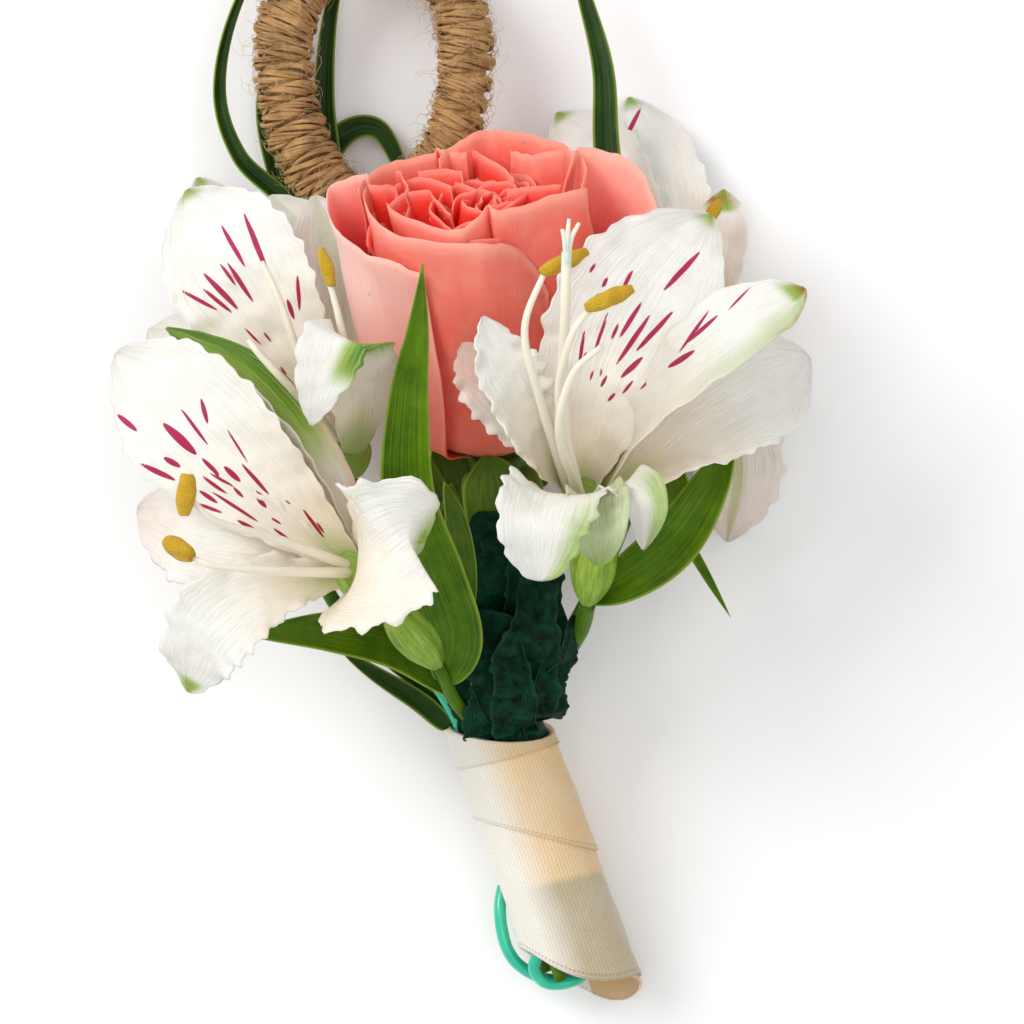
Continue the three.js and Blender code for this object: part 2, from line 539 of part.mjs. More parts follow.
const GRASS_LEFT = [
  { rib: [[-45, 94.5, 9.6], [-46.5, 112, 9], [-48, 126, 9.5], [-53.5, 136, 10.5], [-61.5, 144, 11],
    [-65, 156, 10], [-61.5, 171.5, 10],
    [-51.5, 188, 9]],
    facing: [[0.5, 0, 1], [0.6, -0.2, 0.9]], width: 1.5 },
  { rib: [[-45, 94.5, 9.6], [-46.5, 112, 7], [-49, 127, 6], [-54, 139, 6.5], [-57, 154, 6], [-52.5, 168, 6],
    [-50, 177, 6]], facing: FLAT_UP, width: 1.7 },
  { rib: [[-45, 94.5, 9.6], [-45, 128, 6], [-45.5, 142, 5.5], [-46.5, 154.5, 5], [-45.5, 169, 5],
    [-42, 184, 5]], facing: FLAT_UP, width: 1.9 },
  { rib: [[-45, 94.5, 9.6], [-50, 134, 4], [-47, 143, 3], [-42.5, 149, 3], [-37, 149.5, 3], [-33, 143, 3],
    [-29.5, 134, 3]], facing: FLAT_UP, width: 2 },
];
const GRASS_RIGHT = [
  { rib: [[-2, 86, 12], [4.5, 108, 18], [5.5, 125, 23], [3.5, 144.5, 19], [3, 158.5, 15], [0, 171, 13],
    [-4, 184, 12]],
    facing: FLAT_UP, width: 2.1 },
];

/** A point on the ring's egg-shaped middle line, at a turn counted from its foot. */
function ringPoint(turn, grow = 0) {
  const height = (Math.cos(turn) > 0 ? RING_BELOW : RING_ABOVE) + grow;
  const fromCentre = new THREE.Vector3((RING_HALF_WIDTH + grow) * Math.sin(turn), -height * Math.cos(turn), 0);
  return fromCentre.add(vector(RING_CENTRE));
}

const RING_GAP = 0.25; // turn to each side of the foot that the twine leaves free for the wire's legs

/**
 * A closed tube round a part of the ring, with a radius that is a function of turn and of the angle round
 * the tube.
 */
function ringTube(from, to, steps, sides, radius) {
  const rings = [];
  for (let i = 0; i <= steps; i++) {
    const turn = mix(from, to, i / steps);
    const out = ringPoint(turn, 1).sub(ringPoint(turn));
    const along = ringPoint(turn + 1e-3).sub(ringPoint(turn - 1e-3)).normalize();
    out.addScaledVector(along, -out.dot(along)).normalize();
    const up = along.clone().cross(out);
    rings.push(
      Array.from({ length: sides }, (_, j) => {
        const angle = (2 * Math.PI * j) / sides;
        return onCircle(ringPoint(turn), out, up, radius(turn, angle), angle);
      }),
    );
  }
  return loft(rings);
}

/** Twine wound on the ring: a fat tube with a rope's ridges on it and the wire's bore through it. */
function twineWrap() {
  const roundTheOval = (Math.PI * (2 * RING_HALF_WIDTH + RING_ABOVE + RING_BELOW)) / 2;
  const turns = Math.round(roundTheOval / TWINE_PITCH);
  const ridge = (turn, angle) => TWINE_RADIUS - TWINE_RIDGE + TWINE_RIDGE * Math.cos(turns * turn - angle);
  const wound = ringTube(RING_GAP, 2 * Math.PI - RING_GAP, turns * 3, 8, ridge);
  const bore = ringTube(RING_GAP / 2, 2 * Math.PI - RING_GAP / 2, 20, 6, () => WIRE_RADIUS + 0.6);
  return wound.subtract(bore);
}

const LOOP_POINTS = 20; // points that the ring's wire runs through round the oval

/**
 * The ring's wire: round the oval inside the twine, with both ends going down behind the flowers into the
 * handle.
 */
function ringWire() {
  const loop = [];
  for (let k = 0; k <= LOOP_POINTS; k++) {
    loop.push(ringPoint(mix(RING_GAP, 2 * Math.PI - RING_GAP, k / LOOP_POINTS)).toArray());
  }
  const [footX, footY, footZ] = ringPoint(0).toArray();
  const leg = ([right, up], side) => [
    ...[0, 0.5, 1].map((share) => inHandle(mix(STEM_FOOT, MOUTH, share), right, up)),
    [-16 + side * 1.4, 70, 13], [-25 + side * 1.4, 98, 9], [-34 + side * 1.4, 120, 10],
    [footX + side * 1.4, footY - 5, footZ - 1], [footX + side * 2.2, footY - 0.8, footZ],
  ];
  const [first, second] = IN_SECTION.ring;
  const points = [...leg(second, 1), ...loop, ...leg(first, -1).reverse()];
  return bar(points, [WIRE_RADIUS, WIRE_RADIUS], 5, 56);
}

/**
 * Rings of points round the handle. Each row is a radius and how far along it lies at a turn from the
 * right, by way of the top.
 */
function handleRings(rows, sides, side = 0) {
  return rows.map(({ radius, along }) =>
    Array.from({ length: sides }, (_, j) => {
      const turn = (-2 * Math.PI * j) / sides;
      return vector(inHandle(along(turn), side + radius * Math.cos(turn), radius * Math.sin(turn)));
    }),
  );
}

const ribbonFoot = (turn) => 4.3 - 6.05 * Math.cos(turn) + 4.6 * Math.sin(turn) + 2.3 * Math.cos(2 * turn);
const ribbonMouth = (turn) => 52 - 3.5 * Math.cos(turn);
const lowerEdge = (turn) => 31.5 - 6.5 * Math.cos(turn) + 3 * Math.sin(turn);
const upperEdge = (turn) => 46.9 - 0.8 * Math.cos(turn) + 2.2 * Math.sin(turn);

/**
 * The ribbon wound round the handle, in three turns whose edges stand proud, with a flat spot where it lies
 * down.
 */
function ribbonWrap() {
  const row = (radius, edge, shift) => ({ radius, along: (turn) => edge(turn) + shift });
  const outside = handleRings([
    row(9.3, ribbonFoot, 0), row(9, lowerEdge, -1), row(9.3, lowerEdge, 0),
    row(8.9, upperEdge, -1), row(9.2, upperEdge, 0), row(9, ribbonMouth, 0),
  ], 24);
  const bore = handleRings([-14, 66].map((along) => ({ radius: RIBBON_BORE, along: () => along })), 24);
  const below = solidOf(new THREE.BoxGeometry(40, 40, 10).translate(0, 0, -5).toNonIndexed());
  return loft(outside).subtract(loft(bore)).subtract(below);
}

/**
 * Dark florist tape round the stems: a sleeve, and the torn, crinkled ends that stand out of the ribbon's
 * mouth.
 */
function stemTape() {
  const sleeveRow = (radius, along) => ({ radius, along: (turn) => along + 0.8 * Math.sin(3 * turn) });
  const wall = TAPE_BORE + TAPE_WALL;
  const sleeve = loft(handleRings([sleeveRow(wall, 7), sleeveRow(wall, 50), sleeveRow(wall + 0.2, 54.8)], 14,
    TAPE_SIDE));
  const bore = loft(handleRings([sleeveRow(TAPE_BORE, 0), sleeveRow(TAPE_BORE, 64)], 14, TAPE_SIDE));
  const torn = (rib, facing, width) => blade(
    { rib, facing, width, full: 0.9, round: 0.35, claw: 0.4, cup: [0.4, 0.3], ruffle: 0.16, waves: 1.6,
      thickness: 0.7 }, 4, 2);
  return [
    sleeve.subtract(bore),
    torn([inHandle(53.5, 6.1, 3.8), inHandle(58, 8, 6.6), [-6, 57, 34], [-2.5, 62.5, 37]],
      [[0.6, -0.2, 0.7], [0.7, -0.1, 0.7]], 3.4),
    torn([inHandle(53.5, 2, 5.8), inHandle(58, 1.6, 8.6), [-16, 57, 34.5], [-15.5, 63, 37]],
      [[-0.1, -0.2, 1], [-0.4, -0.2, 1]], 3.6),
    torn([inHandle(53, 3.4, 5.6), inHandle(59, 3.4, 9), [-12.5, 63, 36.5], [-12.5, 73, 37.5]],
      [[0.1, -0.3, 1], [0.2, -0.2, 1]], 4.4),
    torn([inHandle(53, 4.6, 5), [-9.8, 57, 32], [-8, 66, 36.5], [-8, 76.5, 38.5]],
      [[0.3, -0.2, 1], [0.5, -0.2, 0.8]], 3.6),
    torn([inHandle(12, 0.5, -5.75), inHandle(7, 0.2, -5.7), inHandle(4, 0, -5.7), inHandle(1.5, -0.3, -5.7)],
      FLAT_UP, 2.6),
  ];
}

/**
 * Green coated wire: one end beside the stems at the top, then down the handle and out at its foot in two
 * loops.
 */
function coatedWire() {
  const [right, up, radius] = IN_SECTION.coated;
  const inside = [MOUTH, 46, 33, 21, 17].map((along) => inHandle(along, right, up));
  const loops = [
    [14, -6.1, 1.9], [11.4, -6.4, 1.9], [8.8, -8.2, 1.7], [5.6, -7.4, 1.1], [4, -5, 0.5], [3.4, -2, -0.3],
      [3.2, -0.9, -2],
    [2.8, -2.6, -3.5], [3.4, -5.8, -3.7], [5.3, -8.4, -3.5], [8.6, -10.8, -3.2], [12.1, -11.7, -3.2],
      [16, -11.4, -3.9],
    [19.4, -10.4, -5.2], [22, -8.8, -6.8],
  ].map((place) => inHandle(...place));
  return bar([[-32, 58, 25], [-27.5, 53, 25], ...inside, ...loops], [radius, radius], 5, 54);
}

const posy = new THREE.Group();
posy.add(
  meshOf("rose_bloom", ROSE_PETAL, roseBloom()),
  meshOf("rose_stem", STEM_GREEN, roseStem()),
  ...Object.entries(LILIES).map(([name, lily]) =>
    meshOf(`lily_${name}_bloom`, WHITE_TEPAL, lilyBloom(lily)),
  ),
  ...Object.entries(LILY_STEMS).map(([name, parts]) =>
    meshOf(`lily_${name}_stem`, LEAF_GREEN, lilyStem(IN_SECTION[name], ...parts)),
  ),
  meshOf("grass_left", GRASS_GREEN, grass(IN_SECTION.grassLeft,
    [[-26, 57, 15], [-38, 76, 11.5], [-46, 97, 9.5]], GRASS_LEFT)),
  meshOf("grass_right", GRASS_GREEN, grass(IN_SECTION.grassRight,
    [[-12, 64, 12.5], [-6, 76, 11], [-2, 87, 12]], GRASS_RIGHT)),
  meshOf("ring_wire", CORE_WIRE, [ringWire()]),
  meshOf("twine_wrap", TWINE_TAN, [twineWrap()]),
  meshOf("stem_tape", TAPE_GREEN, stemTape()),
  meshOf("ribbon_wrap", RIBBON_CREAM, [ribbonWrap()]),
  meshOf("coated_wire", COATED_WIRE, [coatedWire()]),
);

posy.position.set(-REST_SPOT[0], -REST_SPOT[1], 0);

export default posy;
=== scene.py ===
"""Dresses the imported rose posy: petals, leaves, twine, tape and ribbon as fine meshes with their finishes.

The posy lies on its back on a pale floor, and the camera looks straight down on it.
"""

import math

import bpy
import numpy as np
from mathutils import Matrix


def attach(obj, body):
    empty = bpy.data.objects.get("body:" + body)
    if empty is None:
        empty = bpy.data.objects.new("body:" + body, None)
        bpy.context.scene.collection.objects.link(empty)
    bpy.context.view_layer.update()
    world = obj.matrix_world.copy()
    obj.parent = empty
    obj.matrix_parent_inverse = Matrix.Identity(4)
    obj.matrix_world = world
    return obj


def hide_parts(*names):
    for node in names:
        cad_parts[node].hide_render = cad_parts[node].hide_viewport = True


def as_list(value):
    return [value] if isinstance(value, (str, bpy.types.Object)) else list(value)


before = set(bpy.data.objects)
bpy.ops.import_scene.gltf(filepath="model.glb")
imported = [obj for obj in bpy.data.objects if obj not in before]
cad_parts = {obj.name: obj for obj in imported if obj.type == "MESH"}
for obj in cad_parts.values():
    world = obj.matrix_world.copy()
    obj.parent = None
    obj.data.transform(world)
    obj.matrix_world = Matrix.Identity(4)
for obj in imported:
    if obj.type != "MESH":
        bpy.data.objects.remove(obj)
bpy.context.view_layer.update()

# ------------------------------------------------------------------------------------------------------------
# The view. The camera hangs 600 mm over the flowers' faces and looks straight down, with the handle at the
# bottom. What one pixel covers at the depth of those faces sets the lens.
CAMERA_AT = (-0.0141, 0.0848, 0.635)
FACES_BELOW = 0.600  # metres from the camera to the flowers' faces
METRES_PER_PIXEL = 0.00017  # at that depth
IMAGE_PIXELS = 1024
SENSOR_MM = 36.0

camera_data = bpy.data.cameras.new("camera")
camera_data.sensor_width = SENSOR_MM
camera_data.lens = SENSOR_MM * FACES_BELOW / (METRES_PER_PIXEL * IMAGE_PIXELS)
camera = bpy.data.objects.new("camera", camera_data)
camera.location = CAMERA_AT
bpy.context.scene.collection.objects.link(camera)
bpy.context.scene.camera = camera

# ------------------------------------------------------------------------------------------------------------
# The studio: a white sheet of paper as the floor, a soft key light from the upper left, a wider and weaker
# one overhead, and a white surround that fills the shadows.
FLOOR_HALF = 3.0
PAPER_WHITE = (0.97, 0.97, 0.97, 1)
LIGHTS_AIM = np.array([-0.02, 0.1, 0.03])  # the middle of the flowers
SURROUND_STRENGTH = 0.62
scene = bpy.context.scene
scene.view_settings.view_transform = "Standard"
scene.view_settings.look = "None"

floor_mesh = bpy.data.meshes.new("floor")
corners = [(x * FLOOR_HALF, y * FLOOR_HALF, 0) for x, y in ((-1, -1), (1, -1), (1, 1), (-1, 1))]
floor_mesh.from_pydata(corners, [], [(0, 1, 2, 3)])
floor = bpy.data.objects.new("floor", floor_mesh)
scene.collection.objects.link(floor)


def add(tree, kind, inputs=None, **settings):
    """A shader node of that kind in the tree, with its inputs linked from sockets or set to plain values."""
    made = tree.nodes.new("ShaderNode" + kind)
    for key, value in settings.items():
        setattr(made, key, value)
    for key, value in (inputs or {}).items():
        if isinstance(value, bpy.types.NodeSocket):
            tree.links.new(value, made.inputs[key])
        else:
            made.inputs[key].default_value = value
    return made


def new_finish(name, **values):
    """A material, its tree and its one Principled shader, which has the given values."""
    finish = bpy.data.materials.new(name)
    finish.use_nodes = True
    tree = finish.node_tree
    shader = tree.nodes["Principled BSDF"]
    for key, value in values.items():
        shader.inputs[key.replace("_", " ")].default_value = value
    return finish, tree, shader


paper, _, _ = new_finish("paper", Roughness=0.9, Base_Color=PAPER_WHITE)
floor_mesh.materials.append(paper)


def soft_light(name, at, size, power):
    """A square area light that looks at the middle of the flowers."""
    data = bpy.data.lights.new(name, "AREA")
    data.size = size
    data.energy = power
    lamp = bpy.data.objects.new(name, data)
    lamp.location = at
    aim = LIGHTS_AIM - np.array(at)
    yaw = math.atan2(aim[1], aim[0])
    pitch = math.atan2(math.hypot(aim[0], aim[1]), -aim[2])
    lamp.rotation_euler = (pitch, 0, yaw - math.pi / 2)
    scene.collection.objects.link(lamp)


soft_light("key_light", (-1.1, 0.8, 1.3), 0.9, 17)
soft_light("top_light", (0.3, 0.0, 1.8), 1.6, 9)
world = bpy.data.worlds.new("studio")
world.use_nodes = True
surround = world.node_tree.nodes["Background"].inputs
surround["Color"].default_value = (1, 1, 1, 1)
surround["Strength"].default_value = SURROUND_STRENGTH
scene.world = world

# ------------------------------------------------------------------------------------------------------------
# The rose: thin coral petals that wrap round a closed heart, all growing from one small core. The outer ones
# have rims of their own, the inner ones stand in loose whorls. Places are millimetres in the drawing of the
# posy, where the middle of the rest spot is at REST_SPOT. The finished pieces are in metres from that middle.
REST_SPOT = np.array([1.1, -3.8, 0.0])
ROSE_BASE = np.array([-15.5, 91.5, 26.0])
ROSE_AXIS = np.array([-0.12, 0.89, 0.438])
PETAL_THICKNESS = 0.42


def unit(vectors):
    """Vectors scaled to length one."""
    return vectors / np.maximum(np.linalg.norm(vectors, axis=-1, keepdims=True), 1e-12)


def smooth(points, share):
    """The smooth curve through a few points, read at shares from 0 to 1.

    Between two points it is the cubic whose slope at each is half the step from the point before to the point
    after. Past each end a point is added as far out again as the last one.
    """
    points = np.asarray(points, float)
    padded = np.concatenate([[2 * points[0] - points[1]], points, [2 * points[-1] - points[-2]]])
    place = np.clip(np.asarray(share, float), 0, 1) * (len(points) - 1)
    low = np.minimum(place.astype(int), len(points) - 2)
    t = (place - low)[..., None]
    before, start, end, after = (padded[low + k] for k in range(4))
    first, last = (end - before) / 2, (after - start) / 2
    square = (3 * (end - start) - 2 * first - last) * t**2
    cube = (2 * (start - end) + first + last) * t**3
    return start + first * t + square + cube


def fade(low, high, values):
    """0 below low, 1 above high, and a smooth step between."""
    t = np.clip((values - low) / (high - low), 0, 1)
    return t * t * (3 - 2 * t)


def ripple(points, size, seed):
    """Smooth noise of about -1 to 1: a quarter of the sum of eight sines in seeded directions.

    Their waves are about size long.
    """
    made = np.random.default_rng(seed)
    waves = unit(made.normal(size=(8, 3))) * 2 * np.pi / size
    phases = made.uniform(0, 2 * np.pi, 8)
    return np.sin(points @ waves.T + phases).sum(axis=-1) / 4


def uv_grid(rows, columns):
    """u from 0 to 1 down the rows and v from -1 to 1 along them, as two arrays."""
    return np.meshgrid(np.linspace(0, 1, rows + 1), np.linspace(-1, 1, columns + 1), indexing="ij")


def quads_of(index):
    """The four-cornered faces between the points of a grid of point numbers."""
    corners = [index[:-1, :-1], index[:-1, 1:], index[1:, 1:], index[1:, :-1]]
    return np.stack(corners, axis=-1).reshape(-1, 4)


def shell(surface, thickness, marks):
    """A closed thin shell round a grid of surface points.

    Each point goes half the thickness out along the surface's normal for the upper face and half in for the
    lower one, and a band of faces round the border joins the two. marks is a dict of values per point, and
    the mark side is 1 on the upper face and 0 on the lower one.
    """
    rows, columns = surface.shape[:2]
    normal = unit(np.cross(np.gradient(surface, axis=1), np.gradient(surface, axis=0)))
    half = np.broadcast_to(thickness, (rows, columns))[..., None] / 2
    index = np.arange(rows * columns).reshape(rows, columns)
    lower = index + rows * columns
    border = np.concatenate([index[0, :-1], index[:-1, -1], index[-1, :0:-1], index[:0:-1, 0]])
    following = np.roll(border, -1)
    rim = np.stack([border + rows * columns, following + rows * columns, following, border], axis=-1)
    faces = (surface + normal * half, surface - normal * half)
    points = np.concatenate([face.reshape(-1, 3) for face in faces])
    doubled = {name: np.tile(np.broadcast_to(value, (rows, columns)).reshape(-1), 2)
               for name, value in marks.items()}
    doubled["side"] = np.repeat([1.0, 0.0], rows * columns)
    return {"points": points, "faces": [quads_of(index), quads_of(lower)[:, ::-1], rim], "marks": doubled}


def joined(shapes):
    """Several shapes as one, with their point numbers shifted. A mark that a shape lacks is 0 there."""
    counts = np.cumsum([0] + [len(shape["points"]) for shape in shapes])
    names = {name for shape in shapes for name in shape["marks"]}
    none = [np.zeros(len(shape["points"])) for shape in shapes]
    return {
        "points": np.concatenate([shape["points"] for shape in shapes]),
        "faces": [face + start for shape, start in zip(shapes, counts) for face in shape["faces"]],
        "marks": {name: np.concatenate([shape["marks"].get(name, zero) for shape, zero in zip(shapes, none)])
                  for name in sorted(names)},
    }


def make_piece(name, shape, finish, nodes):
    """The shape as a smooth mesh object in metres that rides on the posy and stands for the given nodes."""
    mesh = bpy.data.meshes.new(name)
    points = (shape["points"] - REST_SPOT) / 1000
    mesh.vertices.add(len(points))
    mesh.vertices.foreach_set("co", points.astype(np.float32).ravel())
    widths = np.concatenate([np.full(len(face), face.shape[1]) for face in shape["faces"]])
    mesh.loops.add(int(widths.sum()))
    order = np.concatenate([face.ravel() for face in shape["faces"]])
    mesh.loops.foreach_set("vertex_index", order.astype(np.int32))
    mesh.polygons.add(len(widths))
    mesh.polygons.foreach_set("loop_start", (np.cumsum(widths) - widths).astype(np.int32))
    mesh.update(calc_edges=True)
    mesh.polygons.foreach_set("use_smooth", np.ones(len(widths), bool))
    for mark_name, values in shape["marks"].items():
        mesh.attributes.new(mark_name, "FLOAT", "POINT").data.foreach_set("value", values.astype(np.float32))
    mesh.validate()
    mesh.materials.append(finish)
    piece = bpy.data.objects.new(name, mesh)
    scene.collection.objects.link(piece)
    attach(piece, "root")
    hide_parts(*nodes)
    return piece


rose_along = unit(ROSE_AXIS)
rose_back = unit(np.cross(rose_along, [1, 0, 0]))
rose_right = np.cross(rose_back, rose_along)
camera_mm = 1000 * np.array(CAMERA_AT) + REST_SPOT


def in_rose(radius, turn, height):
    """A point in the rose from its radius, its turn from the right by way of the back, and its height."""
    radius, turn, height = np.broadcast_arrays(radius, turn, height)
    out = np.cos(turn)[..., None] * rose_right + np.sin(turn)[..., None] * rose_back
    return ROSE_BASE + radius[..., None] * out + height[..., None] * rose_along


def sight_lines(x, y):
    """Directions from the camera through places in its view, in pixels across and down from its corner."""
    step = 1000 * METRES_PER_PIXEL
    across, down = (np.asarray(value, float) - IMAGE_PIXELS / 2 for value in (x, y))
    return np.stack([across * step, -down * step, np.full_like(across, -1000 * FACES_BELOW)], axis=-1)


def rim_in_rose(spots):
    """Turns, radii and heights of rim points that are given as a place in the view and a height in the rose.

    Each point is where the line of sight meets the plane across the rose's axis at that height.
    """
    x, y, height = np.array(spots, float).T
    sight = sight_lines(x, y)
    reach = (height - (camera_mm - ROSE_BASE) @ rose_along) / (sight @ rose_along)
    off = camera_mm + reach[:, None] * sight - ROSE_BASE
    right, back = off @ rose_right, off @ rose_back
    return np.stack([np.unwrap(np.arctan2(back, right)), np.hypot(right, back), height], axis=-1)


FULL_SIDE = [[0, 0], [0.72, 0.15], [0.955, 0.57], [1, 1]]
FLARED_SIDE = [[0, 0], [0.47, 0.15], [0.72, 0.54], [1, 1]]


def rim_petal(rim, foot, lip, seed, side=FULL_SIDE, narrow=0.45, inner=0.0, pale=0.0, inside=1.0, nicks=1.0,
              grid=(38, 52)):
    """A petal of the rose as a shell that hangs from its own rim line.

    Each column runs from the foot's radius and height to the rim's, by the shares of the side profile. Lower
    down the rim's line gives way to the cubic that fits it best, so its notches stay at the top. The petal
    narrows towards its foot, its last seventh rolls outwards in a lip, and a wave with small nicks runs along
    the rim. pale whitens its upper part, a faded tone with a painted highlight. inside is how deep a coral
    its inner face has, and inner deepens both faces towards the foot; both are the petal's own deeper coral
    with painted shade in the cup and the heart.
    """
    u, v = uv_grid(*grid)
    line = smooth(rim_in_rose(rim), (v[0] + 1) / 2)
    fit = np.polynomial.Polynomial.fit
    calm = np.stack([fit(v[0], line[:, axis], 3)(v[0]) for axis in range(3)], axis=-1)
    turn, radius, height = np.moveaxis(calm + (line - calm) * fade(0.6, 1.0, u)[..., None], -1, 0)
    share = smooth(side, u)
    middle = turn.mean()
    width = narrow + (1 - narrow) * np.sin(np.pi / 2 * np.minimum(1, u * 1.5))
    waves = fade(0.35, 1.0, u) * (0.22 * np.sin(7.3 * v + seed) + nicks * 0.1 * np.sin(17 * v + 2 * seed))
    out = foot[0] + (radius - foot[0]) * share[..., 0] + lip * fade(0.86, 1.0, u) ** 1.5 + waves
    ragged = 0.13 * np.sin(11 * v + 3 * seed) + 0.09 * np.sin(27 * v + seed)
    ragged += 0.05 * np.sin(43 * v + 5 * seed)
    up = foot[1] + (height - foot[1]) * share[..., 1] + (nicks * ragged - 0.35 * lip) * fade(0.9, 1.0, u)
    surface = in_rose(out, middle + (turn - middle) * width, up)
    dimples = fade(0.2, 0.6, u) * ripple(surface, 11, int(31 + 7 * seed))
    surface = surface + 0.16 * dimples[..., None] * rose_along
    edge = np.maximum(fade(0.93, 1.0, u), fade(0.965, 1.0, np.abs(v)) * fade(0.3, 0.5, u))
    marks = {"along": u, "across": v, "edge": edge, "inner": inner, "inside": inside,
             "pale": pale * fade(0.25, 0.95, u) * (0.75 + 0.25 * np.cos(2.2 * v + 0.6))}
    return shell(surface, PETAL_THICKNESS * (1 - 0.6 * edge), marks)


WHORL_TUCK, WHORL_WAVE = 1.2, 0.45  # millimetres that one side stands out, and that the rim waves
WHORL_DROP = 0.12  # the share of its height that a corner drops


def whorl_petal(turn, spread, profile, lip, seed, shift=0.0):
    """A petal of an inner whorl as a shell, from a profile of radii and heights and its spread to each side.

    Its corners drop by a power of v, its rim rolls out in a lip and waves, and shift moves it to the right.
    """
    u, v = uv_grid(20, 24)
    at = smooth(profile, u)
    foot = profile[0][1]
    width = math.radians(spread) * (0.45 + 0.55 * np.sin(np.pi / 2 * np.minimum(1, u * 1.6)))
    waves = WHORL_WAVE * fade(0.3, 1.0, u) * (np.sin(4.2 * v + seed) + 0.5 * np.sin(9.7 * v + 2.1 * seed))
    radius = at[..., 0] + WHORL_TUCK * v * (0.25 + 0.75 * u) + lip * fade(0.84, 1.0, u) + waves
    drop = 1 - WHORL_DROP * u * np.abs(v) ** 2.6
    height = foot + (at[..., 1] - foot) * drop - 0.3 * lip * fade(0.9, 1, u) + 0.8 * waves
    surface = in_rose(radius, math.radians(turn) + width * v, height) + shift * u[..., None] * rose_right
    edge = np.maximum(fade(0.92, 1.0, u), fade(0.95, 1.0, np.abs(v)) * fade(0.2, 0.5, u))
    marks = {"along": u, "across": v, "edge": edge, "inner": 1.0, "inside": 1.0}
    return shell(surface, PETAL_THICKNESS * (1 - 0.6 * edge), marks)


OUTER_PETALS = [
    dict(rim=[(372, 172, 50), (350, 176, 49.5), (334, 186, 48.5), (331, 200, 47.5), (336, 220, 46),
         (348, 232, 45), (366, 246, 43.5), (389, 257, 43.5), (405, 263, 43), (423, 268, 42)],
         foot=(5.6, 1), lip=0.9, pale=0.85),
    dict(rim=[(369, 184, 49), (371, 203, 49), (378, 218, 48.5), (392, 229, 48), (407, 235, 47.5),
         (449, 241, 46.5), (485, 241, 46), (503, 241, 45), (517, 248, 43), (529, 260, 40), (538, 274, 37),
         (545, 290, 34)], foot=(6, 2), lip=0.6, narrow=0.6, pale=0.1),
    dict(rim=[(390, 202, 48), (412, 216, 48), (435, 225, 48), (458, 228, 48), (471, 221, 48.5),
         (481, 209, 49.5), (487, 202, 50), (493, 208, 50), (515, 205, 50), (538, 198, 50), (563, 192, 50),
         (583, 186, 50)], foot=(6.5, 3.5), lip=0.5, narrow=0.6, pale=0.12),
    dict(rim=[(562, 150, 52), (572, 146, 52), (595, 149, 51), (616, 157, 50), (634.6, 172, 48),
         (643, 193, 46), (647, 212, 44), (648, 226, 42.5)], foot=(5.6, 1), side=FLARED_SIDE, lip=1.6,
         pale=0.35, inside=0.1),
    dict(rim=[(440, 160, 50), (448, 149, 50.5), (467, 137.5, 51.5), (490, 130.5, 51.5), (515, 131.5, 51.5),
         (533.5, 137.5, 51.5), (552, 141, 51.5), (570, 150, 51.5)], foot=(6.5, 3.5), lip=0.8, inside=0.45),
    dict(rim=[(360, 187, 49), (371, 174, 49), (400, 160.5, 49.5), (433, 153.7, 49.5), (437, 148, 50),
         (448, 152, 50), (466, 151, 50)], foot=(6.5, 3.5), lip=0.6, inside=0.6),
    dict(rim=[(508, 149, 49.5), (526.7, 153.6, 49.5), (568, 151.5, 50.5), (579.5, 165, 50),
         (576, 183.5, 50)], foot=(6, 6), lip=0.9),
]
INNER_PETALS = [
    dict(rim=[(434, 154, 48.5), (450, 150, 49), (467, 149, 49), (482, 155, 49), (494.5, 163, 48.5),
         (506, 172, 48), (511, 178, 48)], foot=(7, 18)),
    dict(rim=[(505, 190, 47.5), (520, 186, 48.5), (540, 185, 48.8), (557, 183.5, 48.8)], foot=(6, 22)),
    dict(rim=[(396, 187, 47.5), (414, 178, 48), (435, 179, 48), (452, 186, 47.5)], foot=(6, 24)),
    dict(rim=[(420, 172, 48.5), (432, 170, 48.5), (448, 169.5, 48.5), (460, 171, 48.3), (462, 178, 48)],
         foot=(6, 22)),
    dict(rim=[(391, 205, 46.5), (398, 198, 47), (407, 193, 47.3), (420, 190, 47.3), (433, 192, 47),
         (444, 202, 46.5), (451, 211, 46)], foot=(4, 26)),
    dict(rim=[(455, 181, 47.5), (468, 186, 47), (481, 190, 46.5), (498, 198, 46)], foot=(4, 28)),
    dict(rim=[(370, 184, 49.3), (380, 184.5, 49.5), (396, 185, 49), (398, 200, 46.5)], foot=(8, 20)),
    dict(rim=[(398, 172, 49.5), (402, 171, 49.8), (408, 183, 48.5), (409, 195, 47)], foot=(7, 26)),
]
WHORLS = [
    dict(count=2, turn=10, spread=105, profile=[[0.8, 32], [1.7, 38], [1.7, 43], [0.8, 46]], shift=6.5,
         lip=0.2),
    dict(count=3, turn=40, spread=80, profile=[[2, 30], [3.2, 37], [3.6, 42], [2.9, 46.6]], shift=6,
         lip=0.4),
    dict(count=3, turn=95, spread=76, profile=[[3.4, 26], [5, 34], [5.6, 41], [5.2, 47.2]], shift=5,
         lip=0.6),
    dict(count=4, turn=15, spread=58, profile=[[4.6, 22], [7, 31], [8.2, 40], [8, 46.5]], shift=3, lip=0.8),
    dict(count=4, turn=50, spread=58, profile=[[5.6, 18], [9, 29], [10.6, 38], [10.6, 45.5]], shift=1,
         lip=0.9),
    dict(count=5, turn=62, spread=50, profile=[[7, 8], [12, 20], [13.8, 34], [14.4, 45.5]], lip=1.0),
]
rose_petals = [rim_petal(seed=0.9 * k, **petal) for k, petal in enumerate(OUTER_PETALS)]
rose_petals += [rim_petal(seed=5 + 1.3 * k, lip=0.5, inner=0.9, nicks=0.35, grid=(26, 32), **petal)
                for k, petal in enumerate(INNER_PETALS)]
